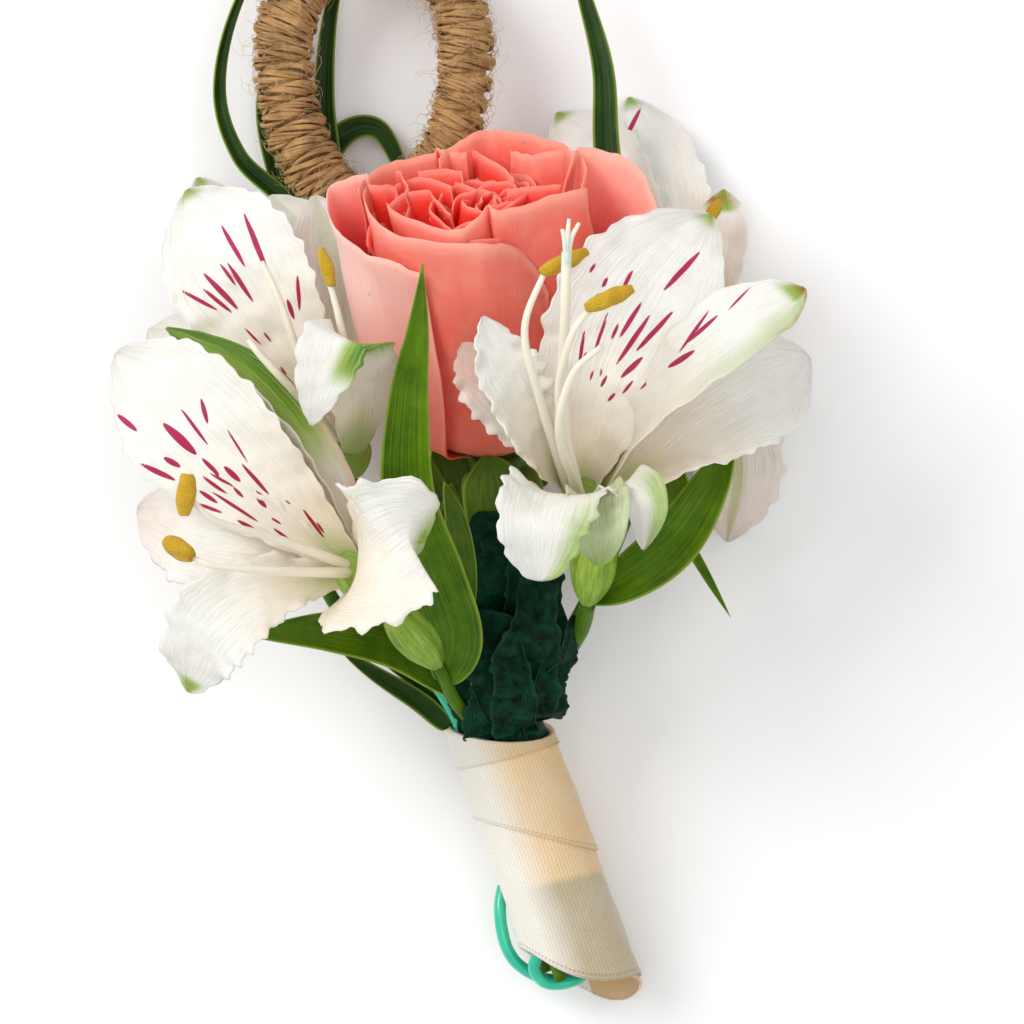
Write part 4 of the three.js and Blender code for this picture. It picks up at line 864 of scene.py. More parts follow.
PLAIN_GRID = (76, 24)
DASHED_GRID = (124, 80)
LILIES = {
    "c": [
        dict(rib=[[-2, 84, 51], [1.5, 98, 56], [9, 114, 58], [20, 130, 52]],
             facing=[[-0.2, -0.4, 1], [-0.1, -0.2, 1]], width=11.5, sides=(1.3, 1), cup=(0.9, 0.25),
             ruffle=0.06, frill=0.25, notch=0.03, grid=DASHED_GRID, marks={"dash": dashes(
             (665, 289, 698, 254, 5), (622, 289, 632, 271, 3.5), (602, 288, 607, 277, 3.5),
             (589, 273, 595, 263, 3), (618, 362, 648, 318, 4.5), (620, 337, 641, 303, 4),
             (638, 349, 672, 313, 4.5), (611, 340, 619, 323, 3), (594, 353, 607, 314, 3),
             (622, 377, 642, 358, 5), (640, 390, 664, 367, 2.5), (645, 380, 652, 367, 2.5),
             (601, 387, 607, 376, 3), (600, 376, 602, 367, 2), (608, 401, 615, 393, 3),
             (623, 393, 633, 381, 2.5), (579, 367, 584, 330, 3), (577, 330, 579, 317, 3),
             (582, 367, 586, 352, 2), (590, 380, 593, 370, 2)), "green": green_of(base_green(0.22, 0.5),
             tip_green(0.95))}),
        dict(rib=[[1.5, 84, 51], [9.5, 97.5, 60], [22.5, 109.5, 65], [34.5, 117.5, 62]],
             facing=[[-0.7, 0.4, 0.6], [-0.5, 0.5, 0.8]], width=8.6, full=1.8, cup=(0.7, 0.4), frill=0.2,
             grid=DASHED_GRID, marks={"dash": dashes((681, 351, 708, 313, 3), (689, 342, 717, 317, 3.5),
             (729, 310, 750, 288, 2), (670, 367, 694, 352, 5)), "green": green_of(base_green(0.3, 0.5),
             rising(0.6, 0.3, 0.85, 1, 0, 0.8), tip_green(0.9)), "rust": rust_corner}),
        dict(rib=[[2.5, 82.5, 49], [15, 93, 51], [26.5, 100.5, 50], [36.8, 107, 45]],
             facing=[[-0.3, 0.4, 0.9], [0.1, 0.1, 1]], width=12.5, sides=(1, 0.75), cup=(0.7, 0.2),
             ruffle=0.08, waves=4, frill=0.35, notch=0.04, marks={"green": base_green(0.3, 0.6)}),
        dict(rib=[[-4, 85, 53], [-10, 94.5, 64], [-14, 103.5, 69], [-17.5, 112.5, 68.5]],
             facing=[[0.6, 0.1, 0.8], [0.5, 0, 0.9]], width=6.2, cup=(0.8, 0.35), full=1.15, ruffle=0.08,
             waves=2, frill=0.55, notch=0.07, marks={"green": base_green(0.25, 0.4)}),
        dict(rib=[[-1.5, 80, 52], [-4.6, 82.5, 64], [-7, 83.5, 72], [-8.8, 78.5, 77.5], [-8.8, 70, 74.5]],
             facing=[[0, 1, 0], [0, 0.9, 0.5], [0, 0.3, 1], [-0.1, -0.5, 1]], width=8.8, sides=(1, 0.85),
             cup=(0.9, 0.35), full=1.25, tip=0.5, ruffle=0.1, waves=2, frill=0.4, notch=0.05, marks={
             "green": green_of(base_green(0.25, 0.6), rising(0.85, 0.45, 0.75, -1, 0.3, 0.9))}),
        dict(rib=[[-0.5, 80, 52], [-1, 82.8, 62], [-0.5, 82.8, 70], [0, 77.5, 74], [0.5, 72.5, 70.5]],
             facing=[[0, 1, 0], [0, 0.9, 0.5], [0, 0.4, 1], [0, -0.4, 1]], width=6.2, sides=(1, 0.62),
             cup=(0.8, 0.4), full=1.2, frill=0.3, fold=0.1, ruffle=0.08, marks={
             "green": lambda u, v, surface: 0.55 + 0.35 * fade(0.7, 1, u)}),
        dict(rib=[[0, 80, 52], [2, 83, 62], [4.6, 85, 68], [7.4, 81.5, 71.5], [8, 75, 69]],
             facing=[[0, 1, 0], [0.2, 0.9, 0.5], [0.1, 0.4, 1], [0.2, -0.4, 1]], width=5.6, sides=(1, 0.5),
             cup=(0.9, 0.5), full=1.2, frill=0.18, ruffle=0.05, marks={
             "green": green_of(base_green(0.25, 0.6), rising(0.8, 0.4, 0.7, -1, 0.1, 0.7))}),
        dict(rib=[[-4, 85.5, 50], [-10.5, 94, 57], [-17, 102, 61], [-21, 108.5, 62]],
             facing=[[0.3, -0.2, 1], [0.2, -0.3, 1]], width=5, cup=(0.4, 0.1), ruffle=0.1, waves=5,
             frill=0.5, notch=0.08, marks={"blush": rising(0.9, 0.4, 0.9), "green": base_green(0.3, 0.4)}),
    ],
    "b": [
        dict(rib=[[-39, 72, 52.5], [-52.5, 84.5, 58], [-66.5, 97, 58], [-78.5, 107.5, 50]],
             facing=[[-0.1, -0.2, 1], [-0.2, 0, 1]], width=11.5, cup=(0.8, 0.2), ruffle=0.06, frill=0.25,
             notch=0.03, grid=DASHED_GRID, marks={"dash": dashes((118, 415, 137, 431, 5),
             (165, 425, 195, 453, 8), (182, 410, 207, 443, 3), (202, 400, 208, 423, 4),
             (164, 458, 180, 467, 5), (142, 465, 174, 480, 5), (123, 480, 155, 488, 4),
             (203, 459, 219, 475, 4), (225, 467, 240, 481, 5), (243, 465, 268, 493, 3.5),
             (228, 430, 247, 461, 2), (203, 477, 226, 493, 3), (211, 474, 233, 486, 2.5),
             (234, 488, 243, 497, 3), (256, 491, 269, 502, 2.5), (257, 498, 266, 507, 4),
             (200, 491, 217, 503, 4), (198, 504, 222, 513, 3), (214, 493, 256, 521, 3),
             (221, 521, 240, 530, 1.5), (238, 521, 256, 531, 3.5), (271, 518, 281, 524, 2),
             (274, 529, 289, 540, 2.5), (304, 510, 323, 536, 3), (317, 522, 324, 532, 2),
             (286, 500, 291, 504, 1.5)), "green": base_green(0.25, 0.5)}),
        dict(rib=[[-38.5, 73, 51], [-46.5, 85.5, 52], [-56.5, 96.5, 50], [-64.5, 104.5, 46]],
             facing=[[-0.5, -0.6, 0.6], [-0.4, -0.5, 0.8]], width=7, cup=(0.5, 0.2), frill=0.2, marks={
             "green": green_of(base_green(0.3, 0.5), midrib_green(0.9, 0.8, 0.35))}),
        dict(rib=[[-37.5, 74, 50.5], [-44.5, 88, 52.5], [-56, 102.5, 52.5], [-70.5, 111.5, 48]],
             facing=[[0.3, 0.5, 0.8], [0.2, 0.4, 0.9]], width=4.6, cup=(0.6, 0.9), full=1.1, fold=0.1,
             marks={"green": rising(1, 0.25, 0.5), "leafy": leafy_half, "blush": margin_blush}),
        dict(rib=[[-40, 70.5, 51.5], [-52.5, 68.5, 59], [-62.5, 61.5, 58], [-67, 51, 48]],
             facing=[[0.1, 0.2, 1], [-0.2, 0, 1]], width=7.6, cup=(0.6, 0.2), ruffle=0.12, waves=4,
             frill=0.5, notch=0.06, marks={"green": green_of(base_green(0.3, 0.4), tip_green(0.9))}),
        dict(rib=[[-38, 70.5, 53], [-37.5, 72.5, 64], [-33.5, 75.5, 71], [-29.5, 78, 71.5],
             [-27, 76.5, 67.5]], facing=[[-0.9, 0.3, 0.3], [-0.6, 0.2, 0.8], [0, 0, 1], [0.5, -0.2, 0.8]],
             width=12, sides=(0.95, 1.05), cup=(0.8, 0.35), full=0.88, ruffle=0.1, waves=1.5, frill=0.45,
             notch=0.05, marks={"green": green_of(base_green(0.25, 0.4), tip_green(0.88),
             rising(0.8, 0.8, 0.95))}),
        dict(rib=[[-40, 71.5, 52], [-52.5, 75.5, 55.5], [-64.5, 78, 53], [-75.5, 81.5, 46]],
             facing=[[0, 0, 1], [-0.1, -0.1, 1]], width=9.5, cup=(0.6, 0.2), ruffle=0.06, frill=0.3,
             notch=0.04, marks={"green": base_green(0.25, 0.4), "blush": rising(0.3, 0.5, 1)}),
    ],
    "a": [
        dict(rib=[[-42, 92.5, 35], [-52, 110, 39], [-60.5, 123.5, 39], [-68.5, 136, 31]],
             facing=[[0.1, -0.2, 1], [-0.1, 0, 1]], width=12, cup=(0.8, 0.2), ruffle=0.06, frill=0.25,
             notch=0.03, grid=DASHED_GRID, marks={"dash": dashes((223, 228, 244, 265, 4),
             (246, 217, 268, 273, 5), (221, 265, 235, 284, 3), (229, 265, 252, 300, 4),
             (205, 275, 237, 308, 5), (204, 290, 231, 312, 3.5), (183, 292, 216, 310, 3.5),
             (298, 277, 300, 309, 3.5), (288, 300, 294, 318, 4), (205, 335, 230, 344, 3),
             (244, 328, 260, 344, 2), (263, 332, 271, 342, 2), (258, 353, 264, 360, 1.5),
             (249, 358, 263, 368, 1.5), (280, 367, 286, 375, 2), (285, 382, 290, 387, 2.5),
             (285, 390, 293, 399, 2.5), (320, 353, 323, 364, 2.5)),
             "green": green_of(base_green(0.25, 0.5), tip_green(0.94))}),
        dict(rib=[[-40.5, 93, 35], [-42, 108, 28], [-43.5, 122, 26], [-47, 135.5, 27]],
             facing=[[-0.3, -0.1, 1], [-0.2, 0, 1]], width=8.6, cup=(0.7, 0.35), frill=0.35, notch=0.04,
             marks={"green": green_of(base_green(0.3, 0.5), midrib_green(0.5, 0.3, 0.1))}),
        dict(rib=[[-40, 90, 37], [-38, 97, 52], [-38, 105.5, 63], [-40.5, 108.5, 67.5], [-43.5, 102.5, 68],
             [-45.5, 95, 65]], facing=[[-0.1, 0.9, -0.4], [-0.1, 0.9, -0.4], [0, 1, 0], [0, 0.8, 0.6],
             [-0.3, 0, 1], [-0.3, -0.1, 1]], width=6.5, cup=(0.7, 0.2), full=1.1, frill=0.3, notch=0.05,
             marks={"green": green_of(base_green(0.3, 0.8), left_patch(0.38, 0.5, 0.72, 0.85, 0, 0.45)),
             "leafy": left_patch(0.42, 0.55, 0.66, 0.78, 0.35, 0.75)}),
        dict(rib=[[-43, 92, 33], [-56, 102, 31], [-66.5, 108, 29], [-76, 112.5, 25]],
             facing=[[0, 0, 1], [0, 0.1, 1]], width=8, cup=(0.5, 0.2), frill=0.3,
             marks={"green": base_green(0.3, 0.5)}),
        dict(rib=[[-42.5, 92.5, 31.5], [-53, 112, 20], [-62, 127, 9], [-69.5, 141, 0.8]],
             facing=[[0, 0.3, 1]], width=8, cup=(0.4, 0.1), ruffle=0.05, frill=0.3, notch=0.03,
             marks={"green": tip_green(0.93)}),
        dict(rib=[[-41.5, 93, 31.5], [-44.5, 112, 25], [-49.5, 126, 23], [-55, 136, 22]],
             facing=[[0, 0.1, 1]], width=8, cup=(0.4, 0.2), frill=0.3, notch=0.03,
             marks={"green": midrib_green(0.5, 0.3, 0.1)}),
    ],
    "d": [
        dict(rib=[[18, 111, 13], [9, 129, 11], [2, 143.5, 8], [-5, 152.5, 4]],
             facing=[[0, 0, 1], [0, 0.2, 1]], width=8, cup=(0.5, 0.2), ruffle=0.06, frill=0.25, notch=0.03,
             marks={"green": tip_green(0.92)}),
        dict(rib=[[18.5, 111.5, 13], [16, 126, 12], [13, 141, 7], [8, 155.5, 0.8]],
             facing=[[0, 0, 1], [0, 0.3, 1]], width=8, cup=(0.4, 0.2), ruffle=0.08, waves=4, frill=0.3,
             notch=0.03, grid=(100, 60), marks={"dash": dashes((625, 140, 640, 110, 4),
             (612, 150, 622, 128, 3)), "green": tip_green(0.93)}),
        dict(rib=[[19.5, 111.5, 14], [22, 120, 21], [23.2, 129, 23], [23.8, 137.3, 20]],
             facing=[[-0.2, 0, 1]], width=5, cup=(0.5, 0.3), frill=0.2, marks={"green": tip_green(0.8),
             "rust": rising(1, 0.82, 0.93)}),
        dict(rib=[[19.5, 109, 13], [24.5, 101, 12], [27, 88.5, 10], [25.2, 75.8, 8]], facing=[UP], width=8,
             cup=(0.4, 0.2), ruffle=0.08, frill=0.4, notch=0.05, marks={
             "green": midrib_green(0.25, 0.7, 0.2), "blush": rising(0.35, 0.3, 1)}),
        dict(rib=[[19, 109, 11], [21, 100, 5.5], [20.5, 88, 4], [18, 78, 3.2]], facing=[[0, 0.2, 1]],
             width=7.5, cup=(0.2, 0.1), frill=0.3, marks={"green": midrib_green(0.25, 0.5, 0.2)}),
        dict(rib=[[19.5, 110.5, 13], [27, 108.5, 12], [31.5, 103, 10], [34, 96, 7]], facing=[UP], width=6,
             cup=(0.4, 0.2), ruffle=0.08, frill=0.4, notch=0.05, marks={"green": base_green(0.3, 0.4)}),
    ],
}
THROATS = {"c": ([1.5, 79.5, 49], [-2.5, 86, 53]), "b": ([-34, 66.5, 50.5], [-41.5, 74, 53.5]),
           "a": ([-39.5, 87, 34], [-42.5, 95, 36]), "d": ([17, 106, 13], [19, 113, 13.5])}
for letter, tepals in LILIES.items():
    bloom = f"lily_{letter}_bloom"
    for k, tepal in enumerate(tepals):
        shape = blade(seed=1.3 * k, pucker=0.3, **{"grid": PLAIN_GRID, **tepal})
        make_piece(f"lily_{letter}_tepal_{k + 1}", shape, tepal_finish, [bloom])
    throat = egg(*THROATS[letter], 4.2)
    throat["marks"]["green"] = np.ones(len(throat["points"]))
    make_piece(f"lily_{letter}_throat", throat, tepal_finish, [bloom])

# ------------------------------------------------------------------------------------------------------------
# The stamens and pistils of the lilies: ivory filaments that rise from each throat and curve up, some with a
# ripe golden anther, and one ivory pistil that ends in three tips.
STAMENS = {
    "c": [([[-3.5, 84, 54], [-8.5, 99, 69], [-11, 110, 75], [-7.5, 120, 74]],
           [[-8.6, 119, 74], [-1, 122.5, 73]]),
          ([[-2, 84, 54], [-5.5, 99, 73], [-3.5, 109, 80], [0.5, 114, 80]],
           [[-1.5, 113, 81.5], [6, 116, 81.5]]),
          ([[-1.5, 83, 54], [-5.5, 93.5, 73], [-3.5, 102.5, 80], [1, 107, 81.5]], None)],
    "b": [([[-39.5, 72, 54], [-50, 76.5, 70], [-59.5, 79.5, 78], [-63.5, 83, 80]],
           [[-64, 87, 80], [-64.5, 80.5, 80]]),
          ([[-39, 71, 54], [-50, 71.5, 70], [-60, 72.5, 76], [-64, 74, 76]],
           [[-68, 76.5, 75], [-63.5, 74, 77]])],
    "a": [([[-41, 93, 37], [-40, 104.5, 56], [-41, 112, 62], [-42.5, 118, 64]],
           [[-42, 117.5, 64], [-44, 123.5, 63]]),
          ([[-41.5, 93, 37], [-46.5, 102.5, 52], [-51, 115.5, 57], [-54, 122, 57]], None),
          ([[-42, 93, 37], [-49, 101, 55], [-54, 106.5, 59], [-56, 109, 59]], None)],
    "d": [([[19, 111.5, 14], [19.5, 121, 28], [20, 130, 31]], [[20, 129.5, 31], [22.5, 134.5, 30.5]])],
}
PISTIL = np.array([[-3, 83, 53], [-4.8, 99, 68], [-4.6, 113, 77], [-4.4, 122, 78.5]])
ANTHER_RADIUS = {"c": 1.7, "b": 1.85, "a": 1.25, "d": 1.25}
PISTIL_TIPS = ([-0.7, 3.6, 0.3], [0.4, 5.2, 0.3], [2, 4.6, -0.4])

IVORY_DEEP = (0.78, 0.74, 0.58, 1)
IVORY_PALE = (0.88, 0.85, 0.75, 1)
POLLEN_DEEP = (0.38, 0.18, 0.004, 1)
POLLEN_PALE = (0.92, 0.60, 0.02, 1)
ivory, tree, shader = new_finish(
    "ivory_filament", Roughness=0.4, Subsurface_Weight=0.3, Subsurface_Scale=0.002)
lines, blotches = use_veins(tree, 5)
dress(tree, shader, mix_colours(tree, blotches, IVORY_DEEP, IVORY_PALE), lines, 0.3, 0.0002)
pollen, tree, shader = new_finish(
    "golden_pollen", Roughness=0.75, Subsurface_Weight=0.1, Subsurface_Scale=0.001)
lines, blotches = use_veins(tree, 7)
place = add(tree, "TexCoord").outputs["Object"]
grains = add(tree, "TexVoronoi", {"Scale": 3500.0, "Vector": place}).outputs["Distance"]
relief = plus(tree, grains, times(tree, lines, 1.5))
dress(tree, shader, mix_colours(tree, blotches, POLLEN_DEEP, POLLEN_PALE), relief, 0.9, 0.0003)
for letter, stamens in STAMENS.items():
    bloom = f"lily_{letter}_bloom"
    filaments = [stalk(route, (0.95, 0.72, 0.6, 0.45), sides=12, steps=50) for route, _ in stamens]
    if letter == "c":
        filaments.append(stalk(PISTIL, (1.0, 0.85, 0.8), sides=12, steps=60))
        for tip in PISTIL_TIPS:
            route = PISTIL[-1] + [[0, -2, 0], np.array(tip) * [0.3, 0.4, 0.4], tip]
            filaments.append(stalk(route, (0.6, 0.5, 0.3), sides=8, steps=20))
    make_piece(f"lily_{letter}_filaments", joined(filaments), ivory, [bloom])
    anthers = [egg(*ends, ANTHER_RADIUS[letter], sides=28, steps=36, ribs=2, rib_depth=0.22, blunt=0.36)
               for _, ends in stamens if ends]
    for k, anther in enumerate(anthers):
        anther["points"] = anther["points"] + 0.16 * np.stack(
            [ripple(anther["points"], 2.6, 40 + 3 * k + axis) for axis in range(3)], axis=-1)
    make_piece(f"lily_{letter}_anthers", joined(anthers), pollen, [bloom])

# ------------------------------------------------------------------------------------------------------------
# The lilies' stems: a smooth green stalk each, the ribbed and striped seed case under the bloom, and long
# pointed leaves with parallel veins. Each stem with its leaves grew as one piece.
LILY_STEMS = {
    "b": ([[-23, 49, 30.5]], ([-25.5, 55, 36.5], [-33.7, 65.9, 49.8], 3.4), [
        dict(rib=[[-24.5, 52, 33], [-22.5, 60, 40], [-25.8, 71, 49], [-30, 84, 57], [-29.8, 99, 63],
             [-28.2, 110.5, 66], [-27.4, 121, 66]], facing=[[-0.1, -0.4, 1], [0.1, -0.3, 1]], width=4.8,
             full=0.62),
        dict(rib=[[-23.5, 50, 30.5], [-32, 57.5, 35.5], [-43.5, 60.5, 40], [-59, 60.5, 40]],
             facing=[[0, 0.4, 1]], width=4.2)]),
    "c": ([[-6, 54, 25.5], [-1.5, 60.5, 31.5]], ([-0.3, 65.5, 39.5], [1.6, 78.7, 48.3], 3.6), [
        dict(rib=[[-0.5, 66, 38], [6.5, 69.5, 41], [14.5, 76, 44], [20.7, 86, 46], [24.5, 96, 49]],
             facing=[[-0.3, 0.2, 1], [-0.4, 0.1, 1]], width=4.6)]),
    "a": ([[-27.5, 51.5, 20], [-38, 58, 19.5], [-46, 70, 23], [-43.5, 82, 29]],
          ([-43, 79.5, 27.5], [-39.6, 86.3, 33.3], 3), []),
    "d": ([[-6, 55, 20], [4, 73, 15], [12, 94, 12.5]], ([13, 95, 12.5], [16.7, 105.1, 13], 2.8), [
        dict(rib=[[11, 90, 13], [16.5, 78, 17.5], [21, 70, 17], [25.5, 62.5, 13]], facing=[UP], width=0.9),
        dict(rib=[[12.4, 95, 12.9], [15.5, 85, 20], [13.5, 78, 23], [11.5, 74, 23]], facing=[UP],
             width=2.6),
        dict(rib=[[12, 98, 14], [10.8, 112, 17], [11.5, 124, 20], [13, 130.5, 22]], facing=[UP], width=2.2)]),
}
LEAF_LIGHT = (0.135, 0.27, 0.003, 1)
LEAF_DARK = (0.017, 0.07, 0.0005, 1)
CASE_LIGHT = (0.42, 0.55, 0.09, 1)
CASE_DARK = (0.10, 0.25, 0.012, 1)
leaf_finish = leaf_material("lily_leaf", LEAF_LIGHT, LEAF_DARK, 16)
case_finish = leaf_material("seed_case", CASE_LIGHT, CASE_DARK, 9)
for letter, (route, (start, end, radius), leaves) in LILY_STEMS.items():
    node = f"lily_{letter}_stem"
    settings = dict(full=0.95, tip=0.9, claw=0.18, cup=(0.5, 0.2), fold=0.12, grid=(70, 18))
    parts = [stem(letter, [*route, start])]
    parts += [blade(seed=2.1 * k, **{**settings, **leaf}) for k, leaf in enumerate(leaves)]
    make_piece(f"lily_{letter}_stalk", joined(parts), leaf_finish, [node])
    case = egg(start, end, radius, sides=48, steps=40, ribs=6, rib_depth=0.09)
    make_piece(f"lily_{letter}_seed_case", case, case_finish, [node])

# ------------------------------------------------------------------------------------------------------------
# The grass: long dark glossy blades, folded a little along the middle, that grow from two thin stalks behind
# the flowers and arch past the ring.
GRASS_LEFT = [
    dict(rib=[[-45, 94.5, 9.6], [-46.5, 112, 9], [-48, 126, 9.5], [-53.5, 136, 10.5], [-61.5, 144, 11],
         [-65, 156, 10], [-61.5, 171.5, 10], [-51.5, 188, 9]], facing=[[0.5, 0, 1], [0.6, -0.2, 0.9]],
         width=1.5),
    dict(rib=[[-45, 94.5, 9.6], [-46.5, 112, 7], [-49, 127, 6], [-54, 139, 6.5], [-57, 154, 6],
         [-52.5, 168, 6], [-50, 177, 6]], facing=[UP], width=1.7),
    dict(rib=[[-45, 94.5, 9.6], [-45, 128, 6], [-45.5, 142, 5.5], [-46.5, 154.5, 5], [-45.5, 169, 5],
         [-42, 184, 5]], facing=[UP], width=1.9),
    dict(rib=[[-24, 43.8, 23.5], [-29, 48, 21.5], [-36.5, 52.6, 19.5], [-42.5, 56.5, 17.5]], facing=[UP],
         width=1.5),
    dict(rib=[[-22.4, 44, 22.5], [-28, 50.6, 20], [-34, 54.8, 18], [-39, 59, 16]], facing=[UP], width=1.3),
    dict(rib=[[-45, 94.5, 9.6], [-50, 134, 4], [-47, 143, 3], [-42.5, 149, 3], [-37, 149.5, 3],
         [-33, 143, 3], [-29.5, 134, 3]], facing=[UP], width=2),
]
GRASS_RIGHT = [
    dict(rib=[[-2, 86, 12], [4.5, 108, 18], [5.5, 125, 23], [3.5, 144.5, 19], [3, 158.5, 15], [0, 171, 13],
         [-4, 184, 12]], facing=[UP], width=2.1),
]
GRASS_LIGHT = (0.03, 0.085, 0.008, 1)
GRASS_DARK = (0.003, 0.018, 0.002, 1)
grass_finish = leaf_material("grass_blade", GRASS_LIGHT, GRASS_DARK, 5, 0.34)
for name, route, blades in (
        ("grass_left", [[-26, 57, 15], [-38, 76, 11.5], [-46, 97, 9.5]], GRASS_LEFT),
        ("grass_right", [[-12, 64, 12.5], [-6, 76, 11], [-2, 87, 12]], GRASS_RIGHT)):
    parts = [stem(name, route, (1, 0.7))]
    settings = dict(claw=0.5, full=0.75, tip=0.5, cup=(0.25, 0.25), fold=0.3, grid=(100, 10))
    parts += [blade(**settings, **grass_blade) for grass_blade in blades]
    make_piece(f"{name}_blades", joined(parts), grass_finish, [name])

# ------------------------------------------------------------------------------------------------------------
# The ring: a steel wire bent into an egg-shaped loop whose narrower end points down to the flowers. Its two
# ends run on side by side behind the flowers and into the handle, between the stems.
RING_CENTRE = np.array([-37.2, 162, 14])
RING_HALF_WIDTH, RING_ABOVE, RING_BELOW = 16.1, 20.2, 27.6
RING_GAP = 0.25


def ring_point(turn, grow=0.0):
    """A point on the ring's egg-shaped middle line at a turn from its foot, pushed out by grow."""
    turn = np.asarray(turn, float)
    height = np.where(np.cos(turn) > 0, RING_BELOW, RING_ABOVE) + grow
    flat = [(RING_HALF_WIDTH + grow) * np.sin(turn), -height * np.cos(turn), np.zeros_like(turn)]
    return RING_CENTRE + np.stack(flat, axis=-1)


def wire_leg(right, up, side):
    """The points of one of the wire's legs, from the handle up to the ring's foot."""
    foot = ring_point(0.0)
    behind = [[-16 + side * 1.4, 70, 13], [-25 + side * 1.4, 98, 9], [-34 + side * 1.4, 120, 10]]
    ends = foot + [[side * 1.4, -5, -1], [side * 2.2, -0.8, 0]]
    return [*up_handle(right, up, (0, 0.5, 1)), *behind, *ends]


STEEL_DARK = (0.30, 0.28, 0.25, 1)
STEEL_BRIGHT = (0.45, 0.43, 0.40, 1)
steel, tree, shader = new_finish("steel_wire", Metallic=0.9)
_, blotches = use_veins(tree, 3)
dress(tree, shader, mix_colours(tree, blotches, STEEL_DARK, STEEL_BRIGHT), blotches, 0.2, 0.0001,
      roughness=plus(tree, times(tree, blotches, 0.3), 0.3))
loop = list(ring_point(np.linspace(RING_GAP, 2 * np.pi - RING_GAP, 21)))
wire_route = [*wire_leg(2.9, -3.9, 1), *loop, *wire_leg(0.6, -4, -1)[::-1]]
wire = stalk(wire_route, (1, 1), sides=10, steps=260)
make_piece("ring_loop", wire, steel, ["ring_wire"])

# ------------------------------------------------------------------------------------------------------------
# The twine: hairy jute cord, loosely spun from a dozen fine yarns and wound on the ring turn beside turn,
# with fibres that lie over the turns and others that stand off them.
TWINE_COIL = 3.9
TWINE_REAL_PITCH = 2.5
POINTS_PER_COIL = 20
YARNS, YARN_OFFSET, YARN_RADIUS, YARN_PITCH = 12, 1.0, 0.31, 15.0
random = np.random.default_rng(7)
round_the_oval = math.pi * (2 * RING_HALF_WIDTH + RING_ABOVE + RING_BELOW) / 2
coils = round(round_the_oval * (1 - RING_GAP / math.pi) / TWINE_REAL_PITCH)


def ring_frame(turn):
    """The ring's middle point at a turn, and the directions outwards, upwards and along the ring there."""
    middle = ring_point(turn)
    along = unit(ring_point(turn + 1e-3) - ring_point(turn - 1e-3))
    out = ring_point(turn, 1.0) - middle
    out = unit(out - np.sum(out * along, axis=-1, keepdims=True) * along)
    return middle, out, np.cross(along, out), along


def wound(turn, radius, angle):
    """A point at that radius and angle round the ring's middle line."""
    middle, out, up, _ = ring_frame(turn)
    away = np.cos(angle)[..., None] * out + np.sin(angle)[..., None] * up
    return middle + np.asarray(radius)[..., None] * away


share = np.linspace(0, 1, coils * POINTS_PER_COIL)
turn = RING_GAP + (2 * np.pi - 2 * RING_GAP) * share
angle = 2 * np.pi * coils * share + 0.25 * np.sin(41 * share) + 0.12 * np.sin(173 * share)
coil = TWINE_COIL + 0.16 * np.sin(29 * share + 1) + 0.1 * np.sin(97 * share)
coil += 0.6 * np.maximum(-np.sin(turn), 0)
core = wound(turn, coil, angle)
cord_along = unit(np.gradient(core, axis=0))
cord_out = unit(core - ring_point(turn))
cord_side = np.cross(cord_along, cord_out)
cord_length = 2 * math.pi * TWINE_COIL * coils
strands = []
for k in range(YARNS):
    twist = 2 * np.pi * (share * cord_length / YARN_PITCH + k / YARNS) + 0.5 * np.sin(83 * share + 2 * k)
    loose = YARN_OFFSET * (1 + 0.18 * np.sin(61 * share + 5 * k) + 0.12 * np.sin(197 * share + 3 * k))
    offset = 0.8 * np.cos(twist)[:, None] * cord_out + 1.1 * np.sin(twist)[:, None] * cord_side
    thickness = YARN_RADIUS * (1 + 0.15 * np.sin(211 * share + k))
    strands.append(tube(core + loose[:, None] * offset, thickness, sides=5, side=cord_out))
under_turn = np.linspace(RING_GAP, 2 * np.pi - RING_GAP, 160)
strands.append(tube(ring_point(under_turn), TWINE_COIL - 0.2, sides=20, side=ring_frame(under_turn)[1]))
JUTE_DARK = (0.33, 0.15, 0.04, 1)
JUTE_TAN = (0.74, 0.42, 0.16, 1)
JUTE_STRAW = (0.92, 0.66, 0.35, 1)
jute, tree, shader = new_finish("jute", Roughness=0.8, Specular_IOR_Level=0.2)
fibres = drawn_noise(tree, mark(tree, "across"), 6.0, mark(tree, "along"), 900.0, 0.7)
colour = mix_colours(tree, from_to(tree, noise(tree, 260.0, 3.0), 0.35, 0.65), JUTE_DARK, JUTE_TAN)
colour = mix_colours(tree, from_to(tree, fibres, 0.45, 0.8), colour, JUTE_STRAW)
dress(tree, shader, colour, fibres, 0.8, 0.0004)
make_piece("twine_cord", joined(strands), jute, ["twine_wrap"])

